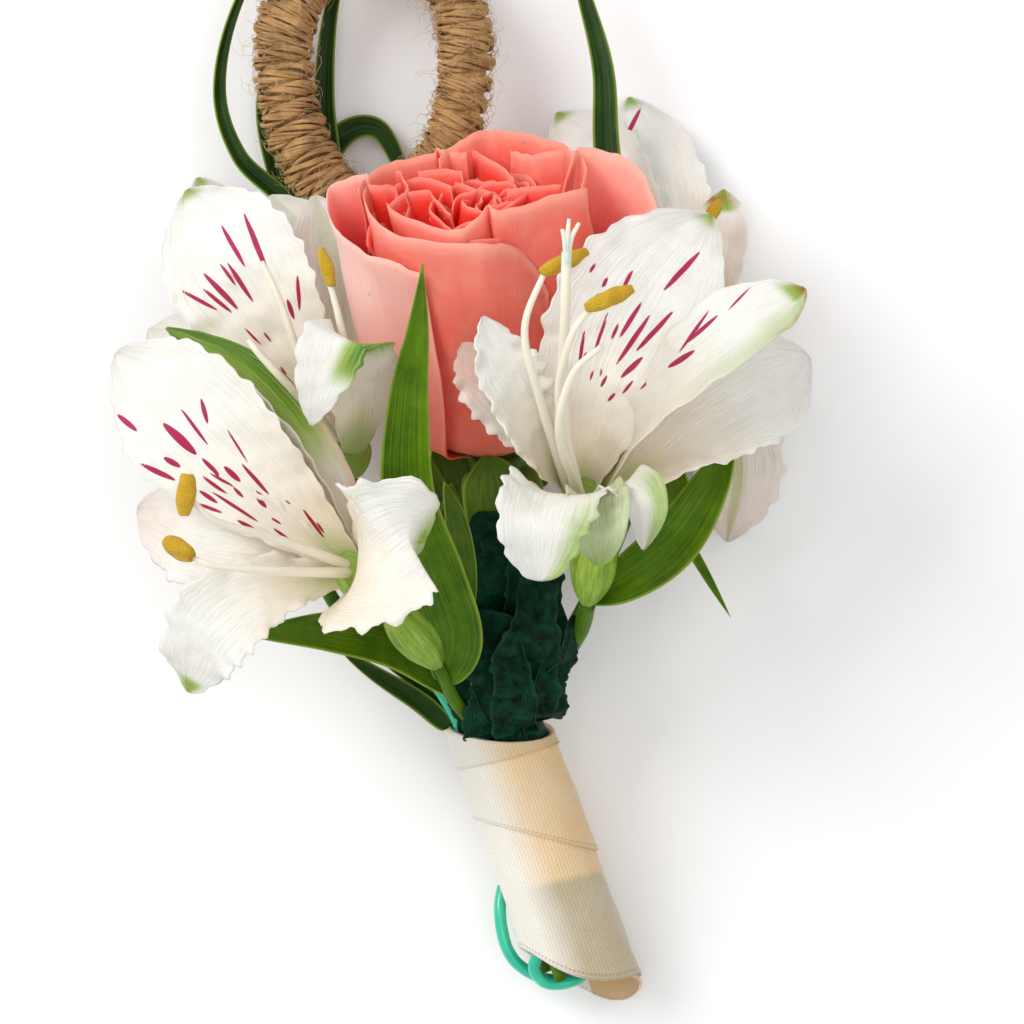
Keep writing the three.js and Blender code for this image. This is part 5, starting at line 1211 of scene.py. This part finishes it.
LOOSE_HAIRS, LYING_HAIRS = 720, 1300
LOOSE_RADIUS, LYING_RADIUS = 0.034, 0.05
hairs = []
for k in range(LOOSE_HAIRS + LYING_HAIRS):
    loose = k < LOOSE_HAIRS
    reach = random.uniform(0.8, 2.4) ** 2 if loose else random.uniform(2.0, 5.5)
    lean = random.normal(size=3)
    root_turn = RING_GAP + random.uniform(0.06, 2 * np.pi - 2 * RING_GAP - 0.06)
    middle, out, up, along = (value[0] for value in ring_frame(np.array([root_turn])))
    angle = random.uniform(0, 2 * np.pi)
    away = math.cos(angle) * out + math.sin(angle) * up
    around = np.cross(along, away)
    root = middle + (TWINE_COIL + (0.9 if loose else 1.0)) * away
    if loose:
        tip = root + reach * unit(0.55 * away + 0.8 * along * np.sign(lean[0]) + 0.35 * lean)
        bent = (root + tip) / 2 + 0.35 * reach * unit(away + 0.5 * lean)
    else:
        heading = unit(around + 0.8 * lean[0] * along)
        tip = root + reach * heading - 0.09 * reach**2 * away
        bent = root + 0.5 * reach * heading + (0.5 + 0.25 * abs(lean[1]) - 0.02 * reach**2) * away
    line = smooth([root, bent, tip], np.linspace(0, 1, 5))
    hairs.append(tube(line, LOOSE_RADIUS if loose else LYING_RADIUS, sides=3))
HAIR_DARK = (0.42, 0.25, 0.10, 1)
HAIR_PALE = (0.85, 0.66, 0.42, 1)
fibre, tree, shader = new_finish("jute_fibre", Roughness=0.7, Specular_IOR_Level=0.2)
straw = noise(tree, 90.0)
dress(tree, shader, mix_colours(tree, straw, HAIR_DARK, HAIR_PALE), straw, 0.3, 0.00005)
make_piece("twine_hairs", joined(hairs), fibre, ["twine_wrap"])

# ------------------------------------------------------------------------------------------------------------
# The florist tape: dark waxed crepe paper wound round the stems inside the ribbon. Crumpled torn ends of it
# stand out of the ribbon's mouth, and one lies at its foot. Two long strips of it reach up among the leaves
# and stand partly for painted shade between them.
TAPE_SIDE, TAPE_BORE, TAPE_WALL = 1.6, 5.5, 0.7
TAPE_FOOT, TAPE_TOP, TAPE_ROWS = 7, 54.8, 40


def sleeve(rows, sides, side=0.0):
    """A closed sleeve round the handle's axis, in rows of a radius and a rule for the place along at a turn.

    The rows run up the outside and down the inside, and the last one joins the first.
    """
    turn = np.linspace(-np.pi / 2, 1.5 * np.pi, sides, endpoint=False)
    points = np.stack([in_handle(rule(turn), side + radius * np.cos(turn), radius * np.sin(turn))
                       for radius, rule in rows])
    index = np.arange(len(rows) * sides).reshape(len(rows), sides)
    wrapped = np.concatenate([index, index[:1]])
    wrapped = np.concatenate([wrapped, wrapped[:, :1]], axis=1)
    marks = {"along": np.repeat(np.linspace(0, 1, len(rows)), sides),
             "across": np.tile(np.sin(turn), len(rows)), "turn": np.tile(turn, len(rows))}
    return {"points": points.reshape(-1, 3), "faces": [quads_of(wrapped)[:, ::-1]], "marks": marks}


def folds(points, size, seed):
    """Folded noise along each axis: 1 less twice the noise's size, which makes sharp creases."""
    return np.stack([1 - 2 * np.abs(ripple(points, size, seed + axis)) for axis in range(3)], axis=-1)


def crumple(shape, size, depth, seed):
    """The shape pushed about by large folds and, a fifth as far, by others of half their size."""
    points = shape["points"]
    push = folds(points, size, seed) + 0.22 * folds(points, size / 2.1, seed + 9)
    return {**shape, "points": points + depth * push}


def torn(rib, facing, width, seed, rough=0.5):
    """One torn, crumpled end of the tape."""
    strip = blade(rib, facing, width, full=0.8, tip=0.22, claw=0.5, cup=(0.5, 0.35), ruffle=0.1, waves=1.6,
                  thickness=0.25, notch=0.03, frill=0.05, seed=seed, grid=(54, 26))
    return crumple(strip, 13, 1.6 * rough, int(10 * seed))


def steps_along(first, last, count):
    """Rules for rows evenly spaced along the handle between two places, with a slow wave round it."""
    return [lambda turn, place=place: place + 0.8 * np.sin(3 * turn)
            for place in np.linspace(first, last, count)]


tape_wall = TAPE_BORE + TAPE_WALL
tape_rows = [(tape_wall, rule) for rule in steps_along(TAPE_FOOT, TAPE_TOP, TAPE_ROWS)]
tape_rows += [(TAPE_BORE, rule) for rule in steps_along(TAPE_TOP, TAPE_FOOT, TAPE_ROWS)]
tape_parts = [
    crumple(sleeve(tape_rows, 72, TAPE_SIDE), 5, 0.1, 3),
    torn([in_handle(52, 6.6, 3.4), [-7.4, 46, 28], [-6.6, 51.5, 30.5], [-5.2, 57.5, 32.5]],
         [[0.5, -0.2, 0.8], [0.5, -0.2, 0.9]], width=3.3, seed=1.1, rough=0.35),
    torn([[-6.2, 54, 31], [-4, 57.5, 32.5], [-2.6, 60, 33.5], [-3.2, 62.8, 35]],
         [[0.7, -0.3, 0.6], [0.9, 0.1, 0.4]], width=2.2, seed=1.7),
    torn([in_handle(52, 1.2, 6), [-15, 48, 30.5], [-15.4, 56, 33.5], [-16, 64, 35.5]],
         [[-0.1, -0.3, 1], [-0.2, -0.2, 1]], width=5.2, seed=2.3, rough=0.6),
    torn([in_handle(52.5, -2.4, 4), [-20.6, 46.5, 28], [-21.2, 50, 30], [-21.6, 53.5, 31]],
         [[-0.5, -0.2, 0.8], [-0.4, -0.2, 0.8]], width=2.8, seed=6.1, rough=0.3),
    torn([in_handle(53, 4.2, 5.4), [-11.5, 54, 33], [-9.8, 62, 36], [-8, 70.6, 37.5]],
         [[0.2, -0.3, 1], [0.3, -0.2, 1]], width=4.8, seed=3.7, rough=0.6),
    # These two long strips reach up among the leaves: dark crepe put partly where shade falls, as painted
    # shade.
    torn([[-15, 52, 29], [-16, 62, 33], [-16.6, 72, 34.5], [-16.4, 81, 34]],
         [[0, -0.2, 1], [0, -0.2, 1]], width=4.2, seed=4.9, rough=0.6),
    torn([[-11, 56, 30], [-10, 66, 33], [-10.4, 75, 35], [-11, 80, 36]],
         [[0.2, -0.2, 1], [0.1, -0.2, 1]], width=4.6, seed=7.3, rough=0.6),
    torn([in_handle(12, 0.5, -5.75), in_handle(7, 0.2, -5.7), in_handle(4, 0, -5.7),
          in_handle(1.5, -0.3, -5.7)], [UP], width=2.6, seed=5.3),
]
CREPE_LINES = 105.0  # round the handle, per radian
CREPE_BLACK = (0.0005, 0.006, 0.002, 1)
CREPE_GREEN = (0.004, 0.068, 0.032, 1)
CREPE_EDGE = (0.03, 0.11, 0.07, 1)
crepe, tree, shader = new_finish("crepe_tape", Roughness=0.5, Specular_IOR_Level=0.1)
creases = noise(tree, 420.0, 6.0, 0.65)
crepe_lines = sum_of(tree, "SINE", times(tree, mark(tree, "across"), CREPE_LINES))
worn = plus(tree, creases, times(tree, crepe_lines, 0.06))
colour = mix_colours(tree, from_to(tree, worn, 0.35, 0.75), CREPE_BLACK, CREPE_GREEN)
colour = mix_colours(tree, times(tree, mark(tree, "edge"), 0.35), colour, CREPE_EDGE)
dress(tree, shader, colour, worn, 0.7, 0.0006)
make_piece("tape_strips", joined(tape_parts), crepe, ["stem_tape"])

# ------------------------------------------------------------------------------------------------------------
# The ribbon: cream grosgrain, with fine ribs across it and a stitched selvedge along each edge, wound round
# the handle. Its first end lies flat under three turns, each over the one below it, and its top is tucked in.
RIBBON_WALL = 0.35
RIBBON_WEFTS = 430.0  # from one edge to the other, in radians
RIBBON_RIBS = 92.0  # round the handle, per radian
RIBBON_STITCH_AT = 0.462  # from the middle of the ribbon's width, as a share of it
RIBBON_STITCH_HALF = 0.009  # half the width of the row of stitches, in the same shares
RIBBON_ROWS, RIBBON_SIDES = 36, 140
VEIL_AT, VEIL_SLOPE = (521, 889), 0.22  # in the view: the slanting line below which the cloth is veiled
RIBBON_PEACH = (0.94, 0.69, 0.40, 1)
RIBBON_TAN_SHADE = (0.80, 0.52, 0.24, 1)
RIBBON_SHEEN_AND_PALE = (0.98, 0.95, 0.86, 1)
RIBBON_VEILED = (0.50, 0.44, 0.30, 1)
RIBBON_SHADE = (0.36, 0.26, 0.15, 1)
RIBBON_THREAD = (0.30, 0.20, 0.12, 1)


def ribbon_foot(turn):
    """The ribbon's slanting lower edge."""
    return 4.3 - 6.05 * np.cos(turn) + 4.6 * np.sin(turn) + 2.3 * np.cos(2 * turn)


def ribbon_end(turn):
    """The lower edge of the ribbon's first end, which lies under the turns and shows below them."""
    return ribbon_foot(turn) + 1.5 - 3.6 * (0.5 + 0.5 * np.cos(turn + 0.7)) ** 2


def lower_edge(turn):
    """Where the first turn of the ribbon goes under the second."""
    return 31.5 - 6.5 * np.cos(turn) + 3 * np.sin(turn)


def upper_edge(turn):
    """Where the second turn goes under the third."""
    return 46.9 - 0.8 * np.cos(turn) + 2.2 * np.sin(turn)


def ribbon_mouth(turn):
    """The ribbon's upper edge."""
    return 52 - 3.5 * np.cos(turn)


def between(first, last, share):
    """A rule for a row at a share of the way between two edges."""
    return lambda turn: first(turn) + (last(turn) - first(turn)) * share


def ribbon_band(lower, upper, foot_radius, top_radius, tuck):
    """One turn of the ribbon as a closed thin sleeve, its radius easing from one edge to the other.

    Each edge has a raised cord, the cloth puckers softly between them, and tuck is how far its top is turned
    in. The mark veiled is 1 where the cloth lies over the stems' dark ends.
    """
    shares = np.linspace(0, 1, RIBBON_ROWS)
    radii = foot_radius + (top_radius - foot_radius) * shares
    selvedge = 0.12 * (np.exp(-(shares / 0.03) ** 2) + np.exp(-((1 - shares) / 0.03) ** 2))
    outside = [(r + s, between(lower, upper, share)) for r, s, share in zip(radii, selvedge, shares)]
    inside = [(r - RIBBON_WALL, between(lower, upper, share)) for r, share in zip(radii[::-1], shares[::-1])]
    fold_rows = 8 if tuck else 0
    for step in np.linspace(0, 2, 2 * fold_rows):
        layer = 3 if step < 1 else 2
        depth = tuck * (1 - abs(1 - step))
        outside.append((top_radius - layer * RIBBON_WALL, lambda turn, depth=depth: upper(turn) - depth))
    band = sleeve(outside + inside, RIBBON_SIDES)
    folded = np.ones(2 * fold_rows)
    band["marks"]["along"] = np.repeat(np.concatenate([shares, folded, shares[::-1]]), RIBBON_SIDES)
    points = band["points"]
    puckers = 0.14 * ripple(points, 9, 5) + 0.05 * ripple(points, 3.5, 6)
    out = unit(points - (HANDLE_FOOT + ((points - HANDLE_FOOT) @ handle_along)[:, None] * handle_along))
    points = points + puckers[:, None] * out
    points[:, 2] = np.maximum(points[:, 2], 0.0)
    x, y = view_place(points)
    band["marks"]["veiled"] = fade(-5, 5, y - VEIL_AT[1] + VEIL_SLOPE * (x - VEIL_AT[0]))
    band["points"] = points
    return band


grosgrain, tree, shader = new_finish(
    "grosgrain", Roughness=0.36, Specular_IOR_Level=0.4, Sheen_Weight=0.35, Sheen_Roughness=0.3,
    Anisotropic=0.5)
along, turn_mark = mark(tree, "along"), mark(tree, "turn")
ribs = sum_of(tree, "SINE", times(tree, turn_mark, RIBBON_RIBS))
weft = sum_of(tree, "SINE", times(tree, along, RIBBON_WEFTS))
weave = plus(tree, times(tree, ribs, 0.85), weft)
soft = noise(tree, 90.0, 3.0)
# Painted sheen: the ribbon's left side is painted bright. The same pale colour also lies in soft patches over
# the cloth.
left_sheen = from_to(tree, turn_mark, 1.5, 2.15)
# Painted shade: the ribbon turns a darker tan towards its right side, away from the light.
colour = mix_colours(tree, from_to(tree, turn_mark, 1.5, 0.3), RIBBON_PEACH, RIBBON_TAN_SHADE)
colour = mix_colours(tree, times(tree, mark(tree, "veiled"), 0.85), colour, RIBBON_VEILED)
colour = mix_colours(tree, times(tree, left_sheen, 0.95), colour, RIBBON_SHEEN_AND_PALE)
colour = mix_colours(tree, times(tree, from_to(tree, soft, 0.4, 0.8), 0.2), colour, RIBBON_SHEEN_AND_PALE)
# Painted shade in the hollows between the ribs and wefts.
weave_hollow_shade = from_to(tree, times(tree, weave, -1.0), 0.35, 1.5)
colour = mix_colours(tree, times(tree, weave_hollow_shade, 0.42), colour, RIBBON_SHADE)
edges = sum_of(tree, "ABSOLUTE", sum_of(tree, "SUBTRACT", along, 0.5))
stitch_row = sum_of(tree, "COMPARE", edges, RIBBON_STITCH_AT)
stitch_row.node.inputs[2].default_value = RIBBON_STITCH_HALF
stitches = times(tree, stitch_row, from_to(tree, ribs, -0.2, 0.3))
colour = mix_colours(tree, times(tree, stitches, 0.6), colour, RIBBON_THREAD)
relief = sum_of(tree, "SUBTRACT", weave, times(tree, stitches, 2.0))
dress(tree, shader, colour, relief, 0.5, 0.00012)
BANDS = [("ribbon_end", ribbon_end, between(ribbon_end, lower_edge, 0.36), 8.75, 8.6, 0.0,
          (0.0125, 0.0545), 0.00055, ["stem_tape"]),
         ("ribbon_turn_1", ribbon_foot, between(ribbon_foot, lower_edge, 1.06), 9.25, 8.95, 0.0,
          (0.0330, 0.0575), 0.00166, ["stem_tape"]),
         ("ribbon_turn_2", lower_edge, between(lower_edge, upper_edge, 1.08), 9.35, 8.9, 0.0,
          (0.0230, 0.0575), 0.00096, ["ribbon_turn_1"]),
         ("ribbon_turn_3", upper_edge, ribbon_mouth, 9.25, 9.0, 2.1,
          (0.0107, 0.0575), 0.00045, ["ribbon_turn_2"])]
for name, lower, upper, foot_radius, top_radius, tuck, flat, area, under in BANDS:
    band = ribbon_band(lower, upper, foot_radius, top_radius, tuck)
    if name == "ribbon_end":
        band["marks"]["veiled"] = np.zeros(len(band["points"]))
    piece = make_piece(name, band, grosgrain, ["ribbon_wrap"])
    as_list(under)

# ------------------------------------------------------------------------------------------------------------
# The green wire: florist wire with a glossy plastic coat. It runs down inside the ribbon and comes out at the
# handle's foot in two loops.
COATED_AT = (-6.3, 2, 1.1)
COATED_LOOPS = [
    [14, -6.1, 1.9], [11.4, -6.4, 1.9], [8.8, -8.2, 1.7], [5.6, -7.4, 1.1], [4, -5, 0.5], [3.4, -2, -0.3],
    [3.2, -0.9, -2], [2.8, -2.6, -3.5], [3.4, -5.8, -3.7], [5.3, -8.4, -3.5], [8.6, -10.8, -3.2],
    [12.1, -11.7, -3.2], [16, -11.4, -3.9], [19.4, -10.4, -5.2], [22, -8.8, -6.8]]
PLASTIC_DEEP = (0.002, 0.44, 0.26, 1)
PLASTIC_PALE = (0.03, 0.62, 0.40, 1)
plastic, tree, shader = new_finish("green_plastic", Roughness=0.22, Coat_Weight=0.5)
scuffs = noise(tree, 300.0, 4.0)
dress(tree, shader, mix_colours(tree, scuffs, PLASTIC_DEEP, PLASTIC_PALE), scuffs, 0.15, 0.0001,
      roughness=plus(tree, times(tree, scuffs, 0.2), 0.14))
right, up, radius = COATED_AT
coated_route = [[-32, 58, 25], [-27.5, 53, 25],
                *(in_handle(place_along, right, up) for place_along in (MOUTH, 46, 33, 21, 17)),
                *(in_handle(*spot) for spot in COATED_LOOPS)]
coated = stalk(coated_route, (radius, radius), sides=16, steps=260)
make_piece("coated_loops", coated, plastic, ["coated_wire"])
